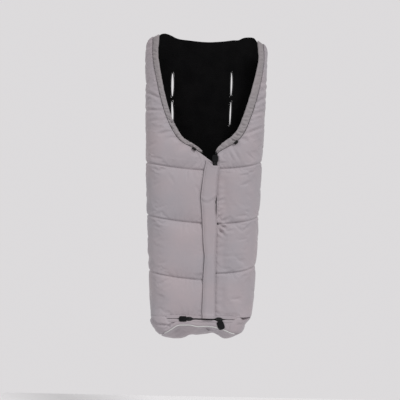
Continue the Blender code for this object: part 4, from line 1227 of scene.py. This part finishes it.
# Rear loops: black polyester webbing, folded round the bar and sewn to the back. The loops
# keep their solids.
webbing = woven_cloth("webbing_weave", (0.010, 0.010, 0.011), (0.020, 0.020, 0.021), 620.0, 1.0, 0.15,
                      roughness=0.7, sheen=0.15, by_map=False)
finish_nodes(webbing, "rear_loop_left", "rear_loop_right")

# Anti-slip panel: thin black knit sewn to the back round its edge, with staggered round dots
# of soft rubber printed over it, so that the sleeve doesn't slide on the seat.
panel_knit = woven_cloth("panel_knit", (0.014, 0.014, 0.015), (0.026, 0.026, 0.027), 900.0, 0.8, 0.2,
                         roughness=0.9, sheen=0.1, by_map=False)
finish_nodes(panel_knit, "antislip_panel")
panel_low, panel_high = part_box("antislip_panel")
panel_wide, panel_tall = panel_high[0] - panel_low[0], panel_high[2] - panel_low[2]
panel_middle = ((panel_low[0] + panel_high[0]) / 2, panel_high[1], (panel_low[2] + panel_high[2]) / 2)
panel_corner, corner_steps, stitch_inset = 0.025, 8, 0.004
dot_step, dot_margin, dot_radius, dot_height = 0.011, 0.009, 0.0022, 0.0007


def dot_tree():
    # Dots on two square grids, one set half a step off the other, kept inside round corners.
    sizes = ("Width", "Height", "Step", "Corner", "Margin", "Dot radius", "Dot height")
    tree, given, made = new_tree("rubber_dots", "GeometryNodeTree",
                                 {"Panel": "Geometry", **dict.fromkeys(sizes, "Float"), "Place": "Vector",
                                  "Rubber": "Material"}, {"Dots": "Geometry"})
    tree.is_modifier = True
    both = tree.nodes.new("GeometryNodeJoinGeometry")
    twice_margin = reckon(tree, "MULTIPLY", given["Margin"], 2.0)
    for fewer in (1, 0):
        sockets = {}
        for way, size in (("X", "Width"), ("Y", "Height")):
            room = reckon(tree, "SUBTRACT", given[size], twice_margin)
            steps = reckon(tree, "FLOOR", reckon(tree, "DIVIDE", room, given["Step"]))
            steps = reckon(tree, "SUBTRACT", steps, fewer)
            sockets["Size " + way] = reckon(tree, "MULTIPLY", steps, given["Step"])
            sockets["Vertices " + way] = reckon(tree, "ADD", steps, 1.0)
        tree.links.new(add_node(tree, "GeometryNodeMeshGrid", sockets)["Mesh"], both.inputs["Geometry"])
    place = add_node(tree, "GeometryNodeInputPosition")
    apart = add_node(tree, "ShaderNodeSeparateXYZ", {0: place["Position"]})
    squares = []
    for axis, size in ((0, "Width"), (1, "Height")):
        half = reckon(tree, "SUBTRACT", reckon(tree, "MULTIPLY", given[size], 0.5), given["Corner"])
        beyond = reckon(tree, "SUBTRACT", reckon(tree, "ABSOLUTE", apart[axis]), half)
        beyond = reckon(tree, "MAXIMUM", beyond, 0.0)
        squares.append(reckon(tree, "MULTIPLY", beyond, beyond))
    reach = reckon(tree, "SQRT", reckon(tree, "ADD", *squares))
    room = reckon(tree, "SUBTRACT", given["Corner"], given["Margin"])
    outside = reckon(tree, "GREATER_THAN", reach, room)
    trimmed = add_node(tree, "GeometryNodeDeleteGeometry", {"Geometry": both.outputs["Geometry"],
                                                            "Selection": outside}, domain="POINT")
    radii = (given["Dot radius"], given["Dot radius"], given["Dot height"])
    spread = beads_on(tree, trimmed["Geometry"], 8, radii)
    upright = add_node(tree, "GeometryNodeTransform", {
        "Geometry": spread, "Translation": given["Place"], "Rotation": (math.pi / 2, 0.0, 0.0)})
    made_solid(tree, upright["Geometry"], given["Rubber"], made["Dots"])
    return tree


dot_rubber = moulded_black("dot_rubber", 0.5, (0.020, 0.020, 0.021), (0.035, 0.035, 0.036))
dot_maker = bpy.data.objects.new("dot_maker", bpy.data.meshes.new("dot_maker"))
scene.collection.objects.link(dot_maker)
dots = made_by(dot_tree(), dot_maker, "antislip_dots", {
    "Width": panel_wide, "Height": panel_tall, "Step": dot_step, "Corner": panel_corner, "Margin": dot_margin,
    "Dot radius": dot_radius, "Dot height": dot_height, "Place": panel_middle, "Rubber": dot_rubber})
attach(dots, "back")
edge_line, reach = [], panel_corner - stitch_inset
for quarter, (way_x, way_z) in enumerate(((1, 1), (-1, 1), (-1, -1), (1, -1))):
    x = panel_middle[0] + way_x * (panel_wide / 2 - panel_corner)
    z = panel_middle[2] + way_z * (panel_tall / 2 - panel_corner)
    for step in range(corner_steps + 1):
        angle = math.pi / 2 * (quarter + step / corner_steps)
        edge_line.append((x + reach * math.cos(angle), panel_high[1], z + reach * math.sin(angle)))
sew("panel_stitches", [edge_line + edge_line[:1]], "back", black_thread)
